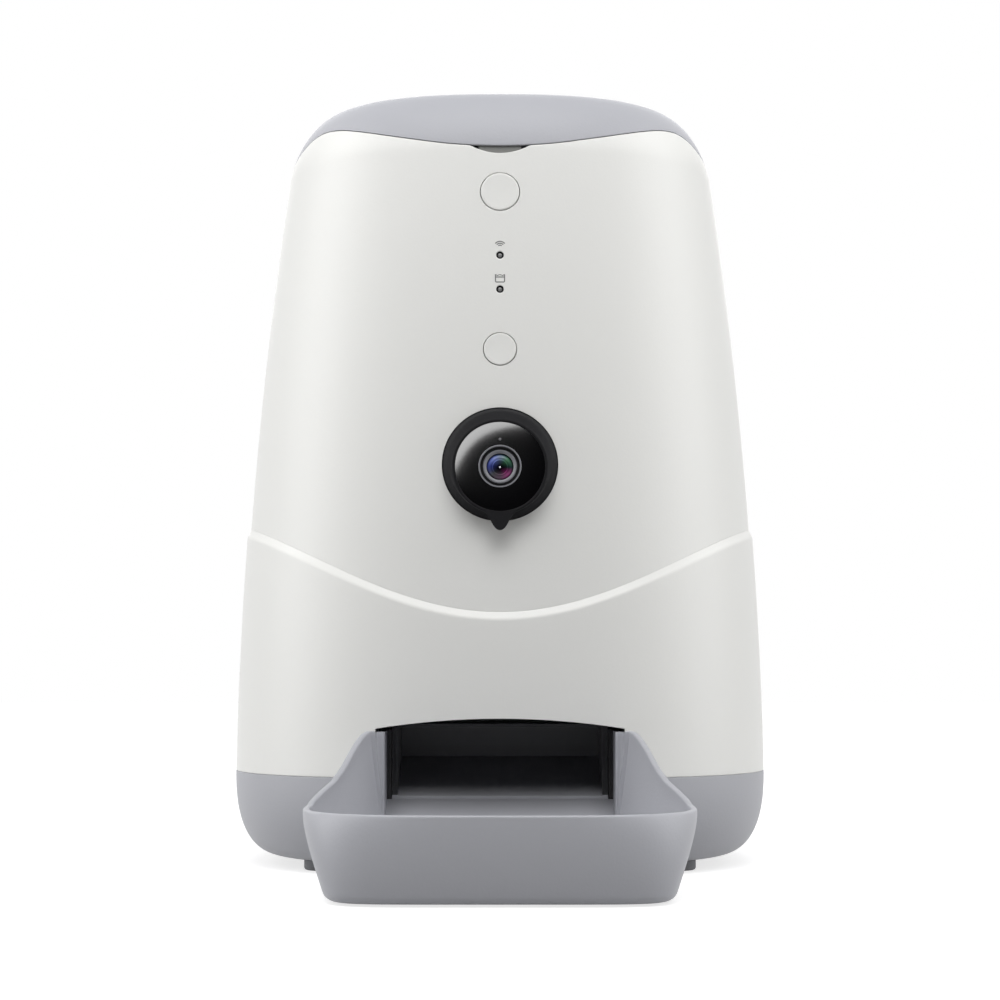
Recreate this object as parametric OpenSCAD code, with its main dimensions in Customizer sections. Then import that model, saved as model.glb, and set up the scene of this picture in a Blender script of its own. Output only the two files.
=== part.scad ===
// Pet feeder with camera: a free-standing dry-food dispenser. A hinged lid closes the food hopper,
// a motor turns a six-pocket rotor under it, and each portion slides down a chute into a bowl that
// pulls out of the front. A camera ball tilts in the front of the housing.
// Sizes are in millimetres. The front faces -Y and the object stands on the plane Z = 0.

/* [Body] */
// Width of the body at the base seam
body_w = 213; // [204:1:224]
// Depth of the body at the base seam
body_d = 213; // [206:1:224]
// Height of the top of the lid above the floor
body_h = 301.5; // [296:0.5:314]
// Squareness of the plan outline, where 2 is an ellipse
plan_power = 2.5; // [2.3:0.1:2.8]
// Inward lean of the sides, as a share of the height
side_lean = 0.018; // [0:0.001:0.03]
// Radius of the slow inward bow of the sides
side_bow_r = 1940; // [1700:20:2600]
// Wall thickness of the moulded shells
wall = 2.6; // [2:0.1:3]

/* [Base] */
// Height of the rubber feet
foot_h = 4; // [3:0.5:5]
// Radius of a rubber foot
foot_r = 9; // [7:0.5:9.5]
// Distance of a foot's middle in from the side of the body
foot_inset_x = 40; // [39:0.5:47]
// Distance of a foot's middle in from the front or back of the body
foot_inset_y = 50.5; // [48:0.5:57]
// Height of the seam between the base pan and the lower housing
base_seam_z = 37; // [35:1:40]
// How far the pan's lower edge is drawn in
base_corner = 18; // [12:1:20]
// Squareness of the pan's rounded lower edge
base_corner_power = 2.4; // [2:0.1:3]

/* [Ledge] */
// Height of the ledge line at the middle of the front
ledge_front_z = 98.2; // [92:0.2:104]
// Rise of the ledge line from the middle to the sides
ledge_rise = 42; // [34:1:46]
// Half span of the ledge line's wave
ledge_span = 140; // [130:1:150]
// How far the lower housing stands out past the upper one
ledge_step = 1.25; // [0.75:0.25:2.5]
// Height of the bevel on the ledge
ledge_bevel_h = 2.9; // [2:0.1:5]
// Gap at the parting lines between the shells
parting_gap = 0.15; // [0.1:0.05:0.4]

/* [Lid] */
// Height in which the sides curve over into the top of the lid
dome_h = 27; // [25:0.5:31]
// Width of the lid's rounded edge
dome_edge = 16.6; // [14:0.2:20]
// Fullness of the lid's rounded edge, up the side
dome_rise_power = 1.8; // [1.6:0.1:2.4]
// Fullness of the lid's rounded edge, across the top
dome_span_power = 2.1; // [1.9:0.1:2.6]
// Rise of the lid's slightly crowned top above its rounded edge
crown_rise = 1.2; // [0.6:0.1:2]
// Distance of the lid seam below the top, at the sides and the back
lid_h = 21.5; // [20:0.5:24]
// Lift of the lid seam beside the front
seam_lift = 6; // [3:0.5:6.5]
// Dip of the lid seam at the middle of the front
seam_dip = 4.2; // [3:0.1:6]
// Gap between the lid and the upper housing
lid_gap = 0.8; // [0.5:0.1:1.2]
// Wall thickness of the lid
lid_wall = 2.2; // [1.8:0.1:2.8]
// Width of the finger notch under the lid
notch_w = 22.8; // [18:0.2:28]
// Depth of the finger notch below the lid seam
notch_depth = 2.8; // [2:0.1:4]
// Width of the lid's tongue behind the notch
tongue_w = 16.8; // [10:0.2:17.5]

/* [Hinge] */
// Radius of a hinge knuckle
knuckle_r = 4; // [3.2:0.1:4.4]
// Radius of the hinge pin
hinge_pin_r = 1.5; // [1:0.1:2]
// Gap between a knuckle and the housing's back wall
knuckle_gap = 0.8; // [0.8:0.1:2]
// Length of one knuckle
knuckle_w = 11; // [8:0.5:14]
// Distance of the outer knuckles' ends from the centre line
hinge_half_span = 34; // [32:1:42]

/* [Front controls] */
// Distance of the feed button below the top of the lid
feed_button_drop = 43.7; // [43.5:0.2:49.5]
// Diameter of the feed button
feed_button_d = 14.6; // [12:0.2:17]
// Distance of the call button below the top of the lid
call_button_drop = 104.7; // [99.5:0.2:107.5]
// Diameter of the call button
call_button_d = 12.2; // [10:0.2:15]
// Distance of the network light below the top of the lid
network_light_drop = 68.5; // [65.5:0.2:71.5]
// Distance of the food light below the top of the lid
food_light_drop = 81.7; // [78.5:0.2:84.5]
// Diameter of a status light
light_d = 2.8; // [2:0.1:4]
// Press travel of a button
button_travel = 0.8; // [0.4:0.1:1]
// Radial gap around a button
button_gap = 0.3; // [0.2:0.05:0.5]

/* [Camera] */
// Distance of the camera's centre below the top of the lid
camera_drop = 149.8; // [147.5:0.1:152.5]
// Diameter of the camera ball where it meets the housing
camera_d = 42.8; // [40:0.2:44]
// Depth of the ball's centre below the housing's surface
ball_depth = 7; // [6.6:0.1:8]
// Width of the ball's rim round the dark window
camera_rim = 4.8; // [4.4:0.1:6]
// Diameter of the lens barrel
lens_d = 15.8; // [12:0.2:18]
// Reach of the finger nub past the ball's edge
nub_reach = 2.3; // [1.5:0.1:2.6]
// Diameter of the ball's trunnion pins
trunnion_d = 3; // [2.4:0.1:3.6]

/* [Bowl] */
// Reach of the bowl's front rim past the front of the body
bowl_reach = 102.5; // [90:0.5:120]
// Half width of the bowl's rim at its widest
bowl_half_w = 67.6; // [62:0.2:74]
// Distance of the bowl's widest place in front of the body
bowl_wide_reach = 38.5; // [34:0.5:46]
// Height of the rim at the front
bowl_rim_z = 30; // [26:0.5:34]
// Gap between the rim at the neck and the sides of the throat's arch
bowl_neck_gap = 0.8; // [0.6:0.1:6]
// How far the rim's shoulders stand out past the throat's sides
bowl_shoulder = 2; // [0.5:0.1:5]
// Height of the bowl's underside above the floor
bowl_bottom_z = 0.8; // [0.5:0.1:2]
// Wall thickness of the bowl
bowl_wall = 2.2; // [1.6:0.1:3]
// Squareness of the bowl's front corners
bowl_power = 3.1; // [2.6:0.1:4]
// Half width of the throat in the front of the housing
throat_half_w = 46; // [45.8:0.1:48]
// Height of the throat at its sides
throat_side_z = 55.2; // [55:0.1:58]
// Rise of the throat's arch
throat_rise = 3.8; // [3:0.1:6]

/* [Dispenser] */
// How much less than half the body's depth the drum's inner radius is
drum_inset = 46.5; // [45.5:0.5:48.5]
// Height of the underside of the drum's floor
drum_z = 92; // [90:0.5:94]
// Height of the drum
drum_h = 36; // [32:1:38]
// Number of pockets in the rotor
rotor_pockets = 6; // [4:1:8]
// Height of the rotor's vanes
rotor_h = 21.5; // [18:0.5:24]
// Distance of the drum's axis in front of the body's centre
drum_forward = 8; // [7:0.5:9]
// Distance of the hopper's mouth in from the housing's sides at the lid seam
hopper_side_gap = 13.2; // [13:0.2:18]
// Distance of the hopper's mouth in from the housing's front at the lid seam
hopper_front_gap = 23.2; // [22:0.2:26]
// Distance of the hopper's mouth in from the housing's back at the lid seam
hopper_back_gap = 13.2; // [13:0.2:18]
// Distance of the hopper's flange below the lid seam
hopper_drop = 11; // [11:0.5:14]
// Wall thickness of the hopper, drum and chute
inner_wall = 2; // [1.6:0.1:2.4]

/* [Gear train] */
// Tooth module of all gears
gear_module = 1; // [0.9:0.05:1.05]
// Teeth on the output gear
output_teeth = 48; // [44:1:50]
// Teeth on the idler's large wheel
idler_teeth = 42; // [38:1:44]
// Teeth on the idler's small wheel and on the motor pinion
pinion_teeth = 14; // [14:1:15]
// Sideways play between meshing teeth
backlash = 0.2; // [0.15:0.05:0.3]

/* [Hidden] */
$fn = 64;

white = "#ecece9";
grey = "#a9abb2";
pale_grey = "#c9cad0";
charcoal = "#2a2b2e";
black = "#141416";
steel = "#b9bcc0";
cream = "#e8dfc8";
ivory = "#f2f0ea";
lens_blue = "#27335a";
circuit_green = "#2f6b48";

// Clearances that pieces share
pin_fit = 0.04;
face_gap = 0.02;
seat_gap = 0.3;
overcut = 1;

// Places that follow the body's size
depth_more = (body_d - body_w) / 2;
foot_x = body_w / 2 - foot_inset_x;
foot_y = body_d / 2 - foot_inset_y;
dome_z = body_h - dome_h;
crown_z = body_h - crown_rise;
lid_seam_z = body_h - lid_h;
feed_button_z = body_h - feed_button_drop;
call_button_z = body_h - call_button_drop;
network_light_z = body_h - network_light_drop;
food_light_z = body_h - food_light_drop;
camera_z = body_h - camera_drop;
drum_r = body_d / 2 - drum_inset;
hopper_half_w = upper_half(lid_seam_z) - hopper_side_gap;
hopper_front = front_depth(lid_seam_z) - hopper_front_gap;
hopper_back = front_depth(lid_seam_z) - hopper_back_gap;
hopper_rim_z = lid_seam_z - hopper_drop;
throat_top_z = throat_side_z + throat_rise;
bowl_front = body_d / 2 + bowl_reach;
bowl_wide_d = body_d / 2 + bowl_wide_reach;
bowl_neck_z = throat_side_z - bowl_neck_gap;
bowl_shoulder_half_w = throat_half_w + bowl_shoulder;

// The bowl's neck runs back into the throat from just behind the front of the body
neck_l = 20;
neck_inset = 2.5;
neck_start = body_d / 2 - neck_inset;
neck_back = neck_start - neck_l;

// Resolution of the lofted shells
plan_steps = 72;
plan_angles = [for (i = [0 : plan_steps - 1]) 360 * i / plan_steps];

// The origin lies under the middle of the whole object, so the body sits behind it
body_shift = bowl_reach / 2;

// Plan outline: a superellipse, with the angle measured from the front towards +X
function plan_reach(phi) =
    pow(pow(abs(sin(phi)), plan_power) + pow(abs(cos(phi)), plan_power), -1 / plan_power);
function plan_point(phi, half, z) =
    [half * plan_reach(phi) * sin(phi), -(half + depth_more) * plan_reach(phi) * cos(phi), z];

// Half width of the body's sides at a height, below and above the ledge
function side_half(z) =
    body_w / 2 - side_lean * (z - base_seam_z) - pow(z - base_seam_z, 2) / (2 * side_bow_r);
function dome_share(z, inset) = max(z - dome_z, 0) / (crown_z - inset - dome_z);
function upper_half(z, inset = 0) = side_half(z) - ledge_step - inset
    - dome_edge * (1 - pow(1 - pow(dome_share(z, inset), dome_rise_power), 1 / dome_span_power));
function front_depth(z) = upper_half(z) + depth_more;
function front_tilt(z) = atan(side_lean + (z - base_seam_z) / side_bow_r);

// Half width of the base pan, whose lower edge is rounded
function pan_half(z) = body_w / 2 - base_corner
    * (1 - pow(1 - pow(min((base_seam_z - z) / (base_seam_z - foot_h), 1), base_corner_power),
        1 / base_corner_power));

// Height of the ledge line: a cosine wave across the front, level round the back
function ledge_wave(x) = ledge_front_z + ledge_rise * (1 - cos(180 * x / ledge_span)) / 2;
ledge_half = side_half(ledge_front_z + ledge_rise);
function ledge_z(phi) =
    ledge_wave(cos(phi) > 0 ? abs(plan_point(phi, ledge_half, 0)[0]) : ledge_half);

// Height of the lid seam: it lifts beside the front and dips at the middle of it
function lid_seam(phi) = lid_seam_z
    + (cos(phi) > 0 ? seam_lift * pow(sin(2 * phi), 2) - seam_dip * pow(cos(phi), 4) : 0);

// A surface through rings of points. It closes on itself like a tyre, or ends in two flat caps.
module loft(rings, capped = false) {
    count = len(rings);
    size = len(rings[0]);
    last = capped ? count - 2 : count - 1;
    sides = [for (k = [0 : last], i = [0 : size - 1], half = [0, 1])
        let (a = k * size + i,
            b = k * size + (i + 1) % size,
            c = ((k + 1) % count) * size + (i + 1) % size,
            d = ((k + 1) % count) * size + i)
        half == 0 ? [a, d, c] : [a, c, b]];
    caps = capped ? [[for (i = [0 : size - 1]) i],
        [for (i = [size - 1 : -1 : 0]) (count - 1) * size + i]] : [];
    polyhedron(points = [for (ring = rings) each ring], faces = concat(sides, caps), convexity = 8);
}

// Sets the body behind the origin
module place() {
    translate([0, body_shift, 0]) children();
}

// Local frame on the middle of the front: Z points out of the housing and Y up along it
module on_front(z) {
    translate([0, -front_depth(z), z]) rotate([90 - front_tilt(z), 0, 0]) children();
}

// Extrudes an outline drawn as (distance in front of the centre, height) across the width
module across(width) {
    rotate([90, 0, -90]) linear_extrude(height = width, center = true) children();
}

// Extrudes an outline drawn as (side, height) from one distance in front of the centre to another
module forwards(near, far) {
    translate([0, -near, 0]) rotate([90, 0, 0]) linear_extrude(height = far - near) children();
}

// A plain tube standing on the origin
module tube(outer, inner, height) {
    difference() {
        cylinder(r = outer, h = height);
        translate([0, 0, -overcut]) cylinder(r = inner, h = height + 2 * overcut);
    }
}

module mirrored_x() {
    children();
    mirror([1, 0, 0]) children();
}

// Base pan

pan_floor_z = foot_h + wall;
pan_levels = [1, 0.985, 0.94, 0.86, 0.72, 0.5, 0.25, 0];
function pan_level_z(level) = base_seam_z - level * (base_seam_z - foot_h);
sill_gap = 0.8;
sill_back = 2;
sill_z = pan_floor_z + sill_gap;

// Legs of the drum stand on bosses in the pan
leg_inset = 10;
leg_x = drum_r - leg_inset;
leg_spread = 20;
leg_front_y = -drum_forward - leg_spread;
leg_back_y = -drum_forward + leg_spread;
leg_r = 4;
boss_r = 6;
boss_h = 3.4;
boss_top_z = pan_floor_z + boss_h;
screw_r = 1.5;
screw_head_r = 3;
screw_head_h = 2.2;
screw_recess = 3;
screw_recess_z = foot_h + screw_recess;
screw_l = 15;
leg_places = [for (x = [-leg_x, leg_x], y = [leg_front_y, leg_back_y]) [x, y]];

// The speaker fires down through holes in the pan's floor
speaker_r = 18;
speaker_h = 7;
speaker_rim_w = 2.5;
speaker_rim_h = 3;
speaker_magnet_r = 9;
speaker_magnet_h = 4;
speaker_aside = 40;
speaker_inset = 44.5;
speaker_place = [-speaker_aside, body_d / 2 - speaker_inset];
speaker_hole_r = 1.4;
speaker_hole_rings = [0, 6, 12];

module base_pan() {
    outer = [for (level = pan_levels)
        let (z = pan_level_z(level)) [for (a = plan_angles) plan_point(a, pan_half(z), z)]];
    inner = [for (level = [0, 0.35, 0.65, 0.82])
        let (z = pan_level_z(level)) [for (a = plan_angles) plan_point(a, pan_half(z) - wall, z)]];
    floor_ring = [for (a = plan_angles)
        plan_point(a, pan_half(pan_floor_z) - wall, pan_floor_z)];
    color(grey) place() difference() {
        union() {
            loft(concat(outer, inner, [floor_ring]), capped = true);
            for (p = leg_places)
                translate([p[0], p[1], foot_h + wall / 2])
                    cylinder(r = boss_r, h = boss_top_z - foot_h - wall / 2);
        }
        translate([-throat_half_w, -body_d, sill_z])
            cube([2 * throat_half_w, body_d - neck_back + sill_back, base_seam_z]);
        for (p = leg_places) {
            translate([p[0], p[1], 0]) cylinder(r = screw_r + pin_fit, h = boss_top_z + overcut);
            translate([p[0], p[1], 0]) cylinder(r = screw_head_r + seat_gap, h = screw_recess_z);
        }
        for (ring = speaker_hole_rings, i = [0 : max(ring, 1) - 1])
            translate([speaker_place[0], speaker_place[1], 0])
                rotate(i * 360 / max(ring, 1))
                    translate([ring, 0, 0])
                        cylinder(r = speaker_hole_r, h = base_seam_z);
    }
}

module rubber_feet() {
    color(charcoal) place()
        for (x = [-foot_x, foot_x], y = [-foot_y, foot_y])
            translate([x, y, 0]) cylinder(r = foot_r, h = foot_h);
}

module base_screws() {
    color(steel) place()
        for (p = leg_places)
            translate([p[0], p[1], screw_recess_z]) {
                cylinder(r = screw_r, h = screw_l);
                translate([0, 0, -screw_head_h]) cylinder(r = screw_head_r, h = screw_head_h);
            }
}

// Lower housing

board_boss_x = 36;
board_boss_z = [70, 112];
board_boss_r = 3;
board_inset = 22.5;
board_y = body_d / 2 - board_inset;
board_t = 1.6;
inlet_play = 0.1;
inlet_z = 54;
inlet_barrel_r = 3.9;
inlet_half_w = 5.5;
inlet_half_h = 6;

// Outline of the throat: straight sides under a flat arch
module throat_outline() {
    arch_r = (pow(throat_half_w, 2) + pow(throat_rise, 2)) / (2 * throat_rise);
    intersection() {
        translate([-throat_half_w, 0]) square([2 * throat_half_w, body_h]);
        translate([0, throat_top_z - arch_r]) circle(r = arch_r, $fn = 180);
    }
}

module lower_housing() {
    levels = [0, 0.25, 0.5, 0.75, 1];
    function level_z(phi, level) =
        base_seam_z + level * (ledge_z(phi) - ledge_bevel_h - base_seam_z);
    outer = [for (level = levels) [for (a = plan_angles)
        let (z = level_z(a, level)) plan_point(a, side_half(z), z)]];
    bevel = [for (a = plan_angles)
        let (z = ledge_z(a)) plan_point(a, side_half(z) - ledge_step, z)];
    land = [for (a = plan_angles)
        let (z = ledge_z(a)) plan_point(a, side_half(z) - ledge_step - wall, z)];
    inner = [for (level = [1, 0.75, 0.5, 0.25, 0]) [for (a = plan_angles)
        let (z = level_z(a, level)) plan_point(a, side_half(z) - wall - level * ledge_step, z)]];
    color(white) place() difference() {
        union() {
            loft(concat(outer, [bevel, land], inner));
            for (x = [-board_boss_x, board_boss_x], z = board_boss_z)
                translate([x, board_y + board_t, z]) rotate([-90, 0, 0])
                    cylinder(r = board_boss_r, h = back_reach(x, z) - board_y - board_t - wall / 2);
        }
        forwards(neck_back, body_d) throat_outline();
        translate([0, 0, inlet_z]) rotate([-90, 0, 0])
            cylinder(r = inlet_barrel_r + inlet_play, h = body_d);
    }
}

// Distance of the lower housing's back wall from the body's centre
function back_reach(x, z) = (side_half(z) + depth_more)
    * pow(1 - pow(abs(x) / side_half(z), plan_power), 1 / plan_power);

// Thickness of the lower housing's back wall at a height, which grows towards the ledge
function back_inset(z) = wall
    + ledge_step * (z - base_seam_z) / (ledge_z(180) - ledge_bevel_h - base_seam_z);

// Upper housing

control_boss_x = 11;
control_boss_r = 2.6;
control_board_z = (feed_button_z + call_button_z) / 2;
control_board_depth = 13.4;
low_boss_drop = 6;
high_boss_drop = 13;
control_boss_y = [up_board(call_button_z) - low_boss_drop, up_board(feed_button_z) - high_boss_drop];
bracket_boss_r = 3;
light_play = 0.1;

notch_steps = 12;
notch_fullness = 0.75;

// The lid swings on knuckles behind the back wall
hinge_rise = 1;
hinge_z = lid_seam_z + hinge_rise;
hinge_wall_y = upper_half(lid_seam_z) + depth_more;
hinge_y = hinge_wall_y + knuckle_r + knuckle_gap;
knuckle_root = 1.4;
knuckle_web_h = 18;
lid_web_h = 7;

// Radius and centre of the camera ball, which sits below the housing's surface
ball_r = sqrt(pow(camera_d / 2, 2) + pow(ball_depth, 2));
ball_gap = 0.4;
bracket_face = -10.5;
bracket_boss_out = 12.5;
bracket_boss_x = ball_r + bracket_boss_out;

// Stretch of the hinge, from one distance to another on both sides of the centre line
module knuckle_span(from, to) {
    mirrored_x()
        translate([from, 0, 0]) rotate([90, 0, 90]) linear_extrude(height = to - from) children();
}

module housing_knuckles() {
    knuckle_span(hinge_half_span - knuckle_w, hinge_half_span) {
        translate([hinge_y, hinge_z]) circle(r = knuckle_r);
        polygon([[hinge_wall_y - knuckle_root, hinge_z - knuckle_web_h],
            [hinge_y + knuckle_r * cos(30), hinge_z - knuckle_r * sin(30)],
            [hinge_y - knuckle_r * cos(30), hinge_z - knuckle_r * sin(30)],
            [hinge_wall_y - knuckle_root, hinge_z - knuckle_r]]);
    }
}

module hinge_bore() {
    translate([0, hinge_y, hinge_z]) rotate([0, 90, 0])
        cylinder(r = hinge_pin_r + pin_fit, h = 3 * hinge_half_span, center = true);
}

// Outline of the finger notch: it dips below the seam in a smooth curve and is open at the top
module notch_outline() {
    half = notch_w / 2;
    open_z = lid_seam(0) + 2 * notch_depth;
    dip = [for (i = [-notch_steps : notch_steps])
        let (share = i / notch_steps)
        [share * half, lid_seam(0) - notch_depth * pow((1 + cos(180 * share)) / 2, notch_fullness)]];
    polygon(concat(dip, [[half, open_z], [-half, open_z]]));
}

module upper_housing() {
    levels = [0, 0.2, 0.4, 0.6, 0.75, 0.86, 0.93, 0.97, 1];
    function level_z(phi, level) =
        ledge_z(phi) + parting_gap + level * (lid_seam(phi) - ledge_z(phi) - parting_gap);
    outer = [for (level = levels) [for (a = plan_angles)
        let (z = level_z(a, level)) plan_point(a, upper_half(z), z)]];
    inner = [for (i = [len(levels) - 1 : -1 : 0]) [for (a = plan_angles)
        let (z = level_z(a, levels[i])) plan_point(a, upper_half(z) - wall, z)]];
    color(white) place() difference() {
        union() {
            loft(concat(outer, inner));
            housing_knuckles();
            on_front(control_board_z)
                for (x = [-control_boss_x, control_boss_x], y = control_boss_y)
                    translate([x, y, -control_board_depth])
                        cylinder(r = control_boss_r, h = control_board_depth - wall / 2);
            on_front(camera_z)
                for (x = [-bracket_boss_x, bracket_boss_x])
                    translate([x, 0, bracket_face])
                        cylinder(r = bracket_boss_r, h = front_drop(x) - bracket_face - wall / 2);
        }
        forwards(hopper_front, body_d) notch_outline();
        on_front(feed_button_z) button_hole(feed_button_d);
        on_front(call_button_z) button_hole(call_button_d);
        for (z = [network_light_z, food_light_z])
            on_front(z) translate([0, 0, -2 * wall])
                cylinder(r = light_d / 2 + light_play, h = 4 * wall);
        on_front(camera_z) translate([0, 0, -ball_depth]) sphere(r = ball_r + ball_gap, $fn = 96);
        hinge_bore();
    }
}

// Height of the front surface at one side, against its middle, near the camera
function front_drop(x) = front_depth(camera_z)
    * (pow(1 - pow(abs(x) / upper_half(camera_z), plan_power), 1 / plan_power) - 1);

module button_hole(diameter) {
    translate([0, 0, -2 * wall]) cylinder(r = diameter / 2 + button_gap, h = 4 * wall);
}

// Hopper

drum_y = -drum_forward;
drum_top_z = drum_z + drum_h;
hopper_shoulder_rise = 0.48;
hopper_shoulder_z = drum_top_z + hopper_shoulder_rise * (hopper_rim_z - drum_top_z);
hopper_shoulder_share = 0.85;
hopper_flange_t = 2.5;

// Outline of the hopper, from the drum's circle at share 0 to the mouth at share 1
function hopper_point(phi, share, grow, z) =
    let (mouth_depth = cos(phi) > 0 ? hopper_front : hopper_back,
        mouth_x = (hopper_half_w + grow) * plan_reach(phi) * sin(phi),
        mouth_y = -(mouth_depth + grow) * plan_reach(phi) * cos(phi),
        drum_x = (drum_r + grow) * sin(phi),
        drum_depth = drum_y - (drum_r + grow) * cos(phi))
    [share * mouth_x + (1 - share) * drum_x, share * mouth_y + (1 - share) * drum_depth, z];

function hopper_outline(grow) =
    [for (a = plan_angles) let (p = hopper_point(a, 1, grow, 0)) [p[0], p[1]]];

module hopper() {
    stations = [[0, drum_top_z], [hopper_shoulder_share, hopper_shoulder_z], [1, hopper_rim_z]];
    outer = [for (s = stations) [for (a = plan_angles) hopper_point(a, s[0], inner_wall, s[1])]];
    inner = [for (i = [2 : -1 : 0])
        [for (a = plan_angles) hopper_point(a, stations[i][0], 0, stations[i][1])]];
    flange = upper_half(hopper_rim_z) - wall - seat_gap;
    color(pale_grey) place() union() {
        loft(concat(outer, inner));
        translate([0, 0, hopper_rim_z - hopper_flange_t]) linear_extrude(height = hopper_flange_t)
            difference() {
                polygon([for (a = plan_angles)
                    let (p = plan_point(a, flange, 0)) [p[0], p[1]]]);
                polygon(hopper_outline(inner_wall / 2));
            }
    }
}

// Dispenser drum

drum_floor_t = 3;
shaft_r = 4;

// The outlet and the chute begin in front of the gearbox, whose round end lies on the drum's axis
gearbox_wall = 2;
gearbox_room = 2.5;
gearbox_r = gear_module * (output_teeth / 2 + 1) + gearbox_room + gearbox_wall;
chute_clear = 2.7;
chute_back = drum_forward + gearbox_r + chute_clear + inner_wall;
outlet_edge = 2;
outlet_half_angle = 35;
outlet_outer_r = drum_r - outlet_edge;
outlet_inner_r = (chute_back - drum_forward + 2 * seat_gap) / cos(outlet_half_angle);

module outlet_outline() {
    reach = 2 * drum_r;
    intersection() {
        difference() {
            circle(r = outlet_outer_r);
            circle(r = outlet_inner_r);
        }
        polygon([[0, 0], [-reach * tan(outlet_half_angle), -reach],
            [reach * tan(outlet_half_angle), -reach]]);
    }
}

module dispenser_drum() {
    color(pale_grey) place() difference() {
        union() {
            translate([0, drum_y, drum_z]) cylinder(r = drum_r + inner_wall, h = drum_h, $fn = 128);
            for (p = leg_places)
                translate([p[0], p[1], boss_top_z])
                    cylinder(r = leg_r, h = drum_z + drum_floor_t / 2 - boss_top_z);
        }
        translate([0, drum_y, drum_z + drum_floor_t]) cylinder(r = drum_r, h = drum_h, $fn = 128);
        translate([0, drum_y, 0]) cylinder(r = shaft_r + pin_fit, h = drum_top_z);
        translate([0, drum_y, drum_z - overcut])
            linear_extrude(height = drum_floor_t + 2 * overcut) outlet_outline();
        translate([0, idler_y, drum_z - overcut])
            cylinder(r = idler_axle_r + pin_fit, h = overcut + axle_pocket);
        for (p = gearbox_screw_places)
            translate([p[0], p[1], drum_z - overcut])
                cylinder(r = screw_r + pin_fit, h = overcut + gearbox_screw_grip + seat_gap);
        for (p = leg_places)
            translate([p[0], p[1], boss_top_z - overcut])
                cylinder(r = screw_r + pin_fit, h = screw_l + overcut);
    }
}

// Discharge chute: a dark duct from the drum's outlet down to the bowl

chute_inset = 7.5;
chute_half_w = throat_half_w - chute_inset;
chute_front = drum_forward + outlet_outer_r + outlet_edge;
chute_lip = 1.3;
chute_lip_z = throat_side_z + chute_lip;
ramp_foot_z = 29.5;
ramp_rise = 13.5;
ramp_top_z = ramp_foot_z + ramp_rise;
ramp_foot = neck_back - 2 * seat_gap;
ramp_slope = ramp_rise / (ramp_foot - chute_back);

module chute_side_outline() {
    polygon([[chute_back - inner_wall, drum_z], [chute_front + inner_wall, drum_z],
        [chute_front + inner_wall, chute_lip_z], [ramp_foot, chute_lip_z],
        [ramp_foot, ramp_foot_z - inner_wall], [chute_back - inner_wall, ramp_top_z - inner_wall]]);
}

module chute_duct_outline() {
    polygon([[chute_back, drum_z + overcut], [chute_front, drum_z + overcut],
        [chute_front, chute_lip_z - overcut], [ramp_foot + overcut, chute_lip_z - overcut],
        [ramp_foot + overcut, ramp_foot_z - overcut * ramp_slope], [chute_back, ramp_top_z]]);
}

module discharge_chute() {
    color(charcoal) place() difference() {
        across(2 * (chute_half_w + inner_wall)) chute_side_outline();
        across(2 * chute_half_w) chute_duct_outline();
    }
}

// Gear train: output gear on the drum's axis, a two-step idler and the motor pinion behind it

pressure_angle = 20;
tooth_top = 0.9;
tooth_root = 1.25;
flank_step = 0.1;
centre_play = 0.1;
output_pitch_r = gear_module * output_teeth / 2;
idler_pitch_r = gear_module * idler_teeth / 2;
pinion_pitch_r = gear_module * pinion_teeth / 2;
idler_y = drum_y + output_pitch_r + pinion_pitch_r + centre_play;
pinion_y = idler_y + idler_pitch_r + pinion_pitch_r + centre_play;
gearbox_floor_t = 2.5;
gearbox_h = 28;
gearbox_z = drum_z - gearbox_h;
idler_axle_r = 1.5;
axle_pocket = 1.6;
motor_r = 12.2;
motor_h = 31;
motor_shaft_r = 1;
motor_shaft_seat = 5;
motor_boss_r = 4;
motor_boss_h = 2;
motor_terminal = [1.2, 3, 8];
motor_terminal_x = 6;
pinion_bore_r = 2.4;
gear_floor_z = gearbox_z + gearbox_floor_t;
shaft_seat = 1.5;
gearbox_ear_r = 4.5;
gearbox_ear_h = 5;
gearbox_screw_grip = 2;
gearbox_ear_x = gearbox_r + screw_head_r + seat_gap;
gearbox_screw_places = [[-gearbox_ear_x, drum_y], [gearbox_ear_x, drum_y]];

// Heights of the wheels above the gearbox floor
idler_wheel_rise = 1.5;
idler_wheel_h = 6;
idler_pinion_h = 12;
idler_boss_r = 4;
motor_pinion_rise = 0.6;
motor_pinion_h = 8.4;
output_gear_rise = 11;
output_gear_h = 7;
output_boss_r = 9;
output_boss_h = 3;
web_hole_r = 4;
web_hole_at = 15.5;
web_holes = 6;

function involute_angle(a) = tan(a) * 180 / PI - a;
// Half of a tooth's angle at a radius. Below the base circle the flank is radial.
function tooth_half_angle(teeth, r) =
    let (pitch_r = gear_module * teeth / 2,
        base_r = pitch_r * cos(pressure_angle),
        play = backlash / 4 / pitch_r * 180 / PI)
    90 / teeth - play + involute_angle(pressure_angle)
        - involute_angle(acos(base_r / max(r, base_r)));

// Outline of an involute gear with one tooth on +X
module gear_outline(teeth) {
    pitch_r = gear_module * teeth / 2;
    base_r = pitch_r * cos(pressure_angle);
    root_r = pitch_r - tooth_root * gear_module;
    tip_r = pitch_r + tooth_top * gear_module;
    flank_r = max(base_r, root_r + flank_step / 2);
    flank = [root_r, flank_r, (pitch_r + flank_r) / 2 + flank_step, (pitch_r + tip_r) / 2, tip_r];
    steps = concat([for (r = flank) [r, -1]], [for (i = [len(flank) - 1 : -1 : 0]) [flank[i], 1]]);
    polygon([for (i = [0 : teeth - 1], s = steps)
        let (a = 360 * i / teeth + s[1] * tooth_half_angle(teeth, s[0]))
        [s[0] * cos(a), s[0] * sin(a)]]);
}

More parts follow.
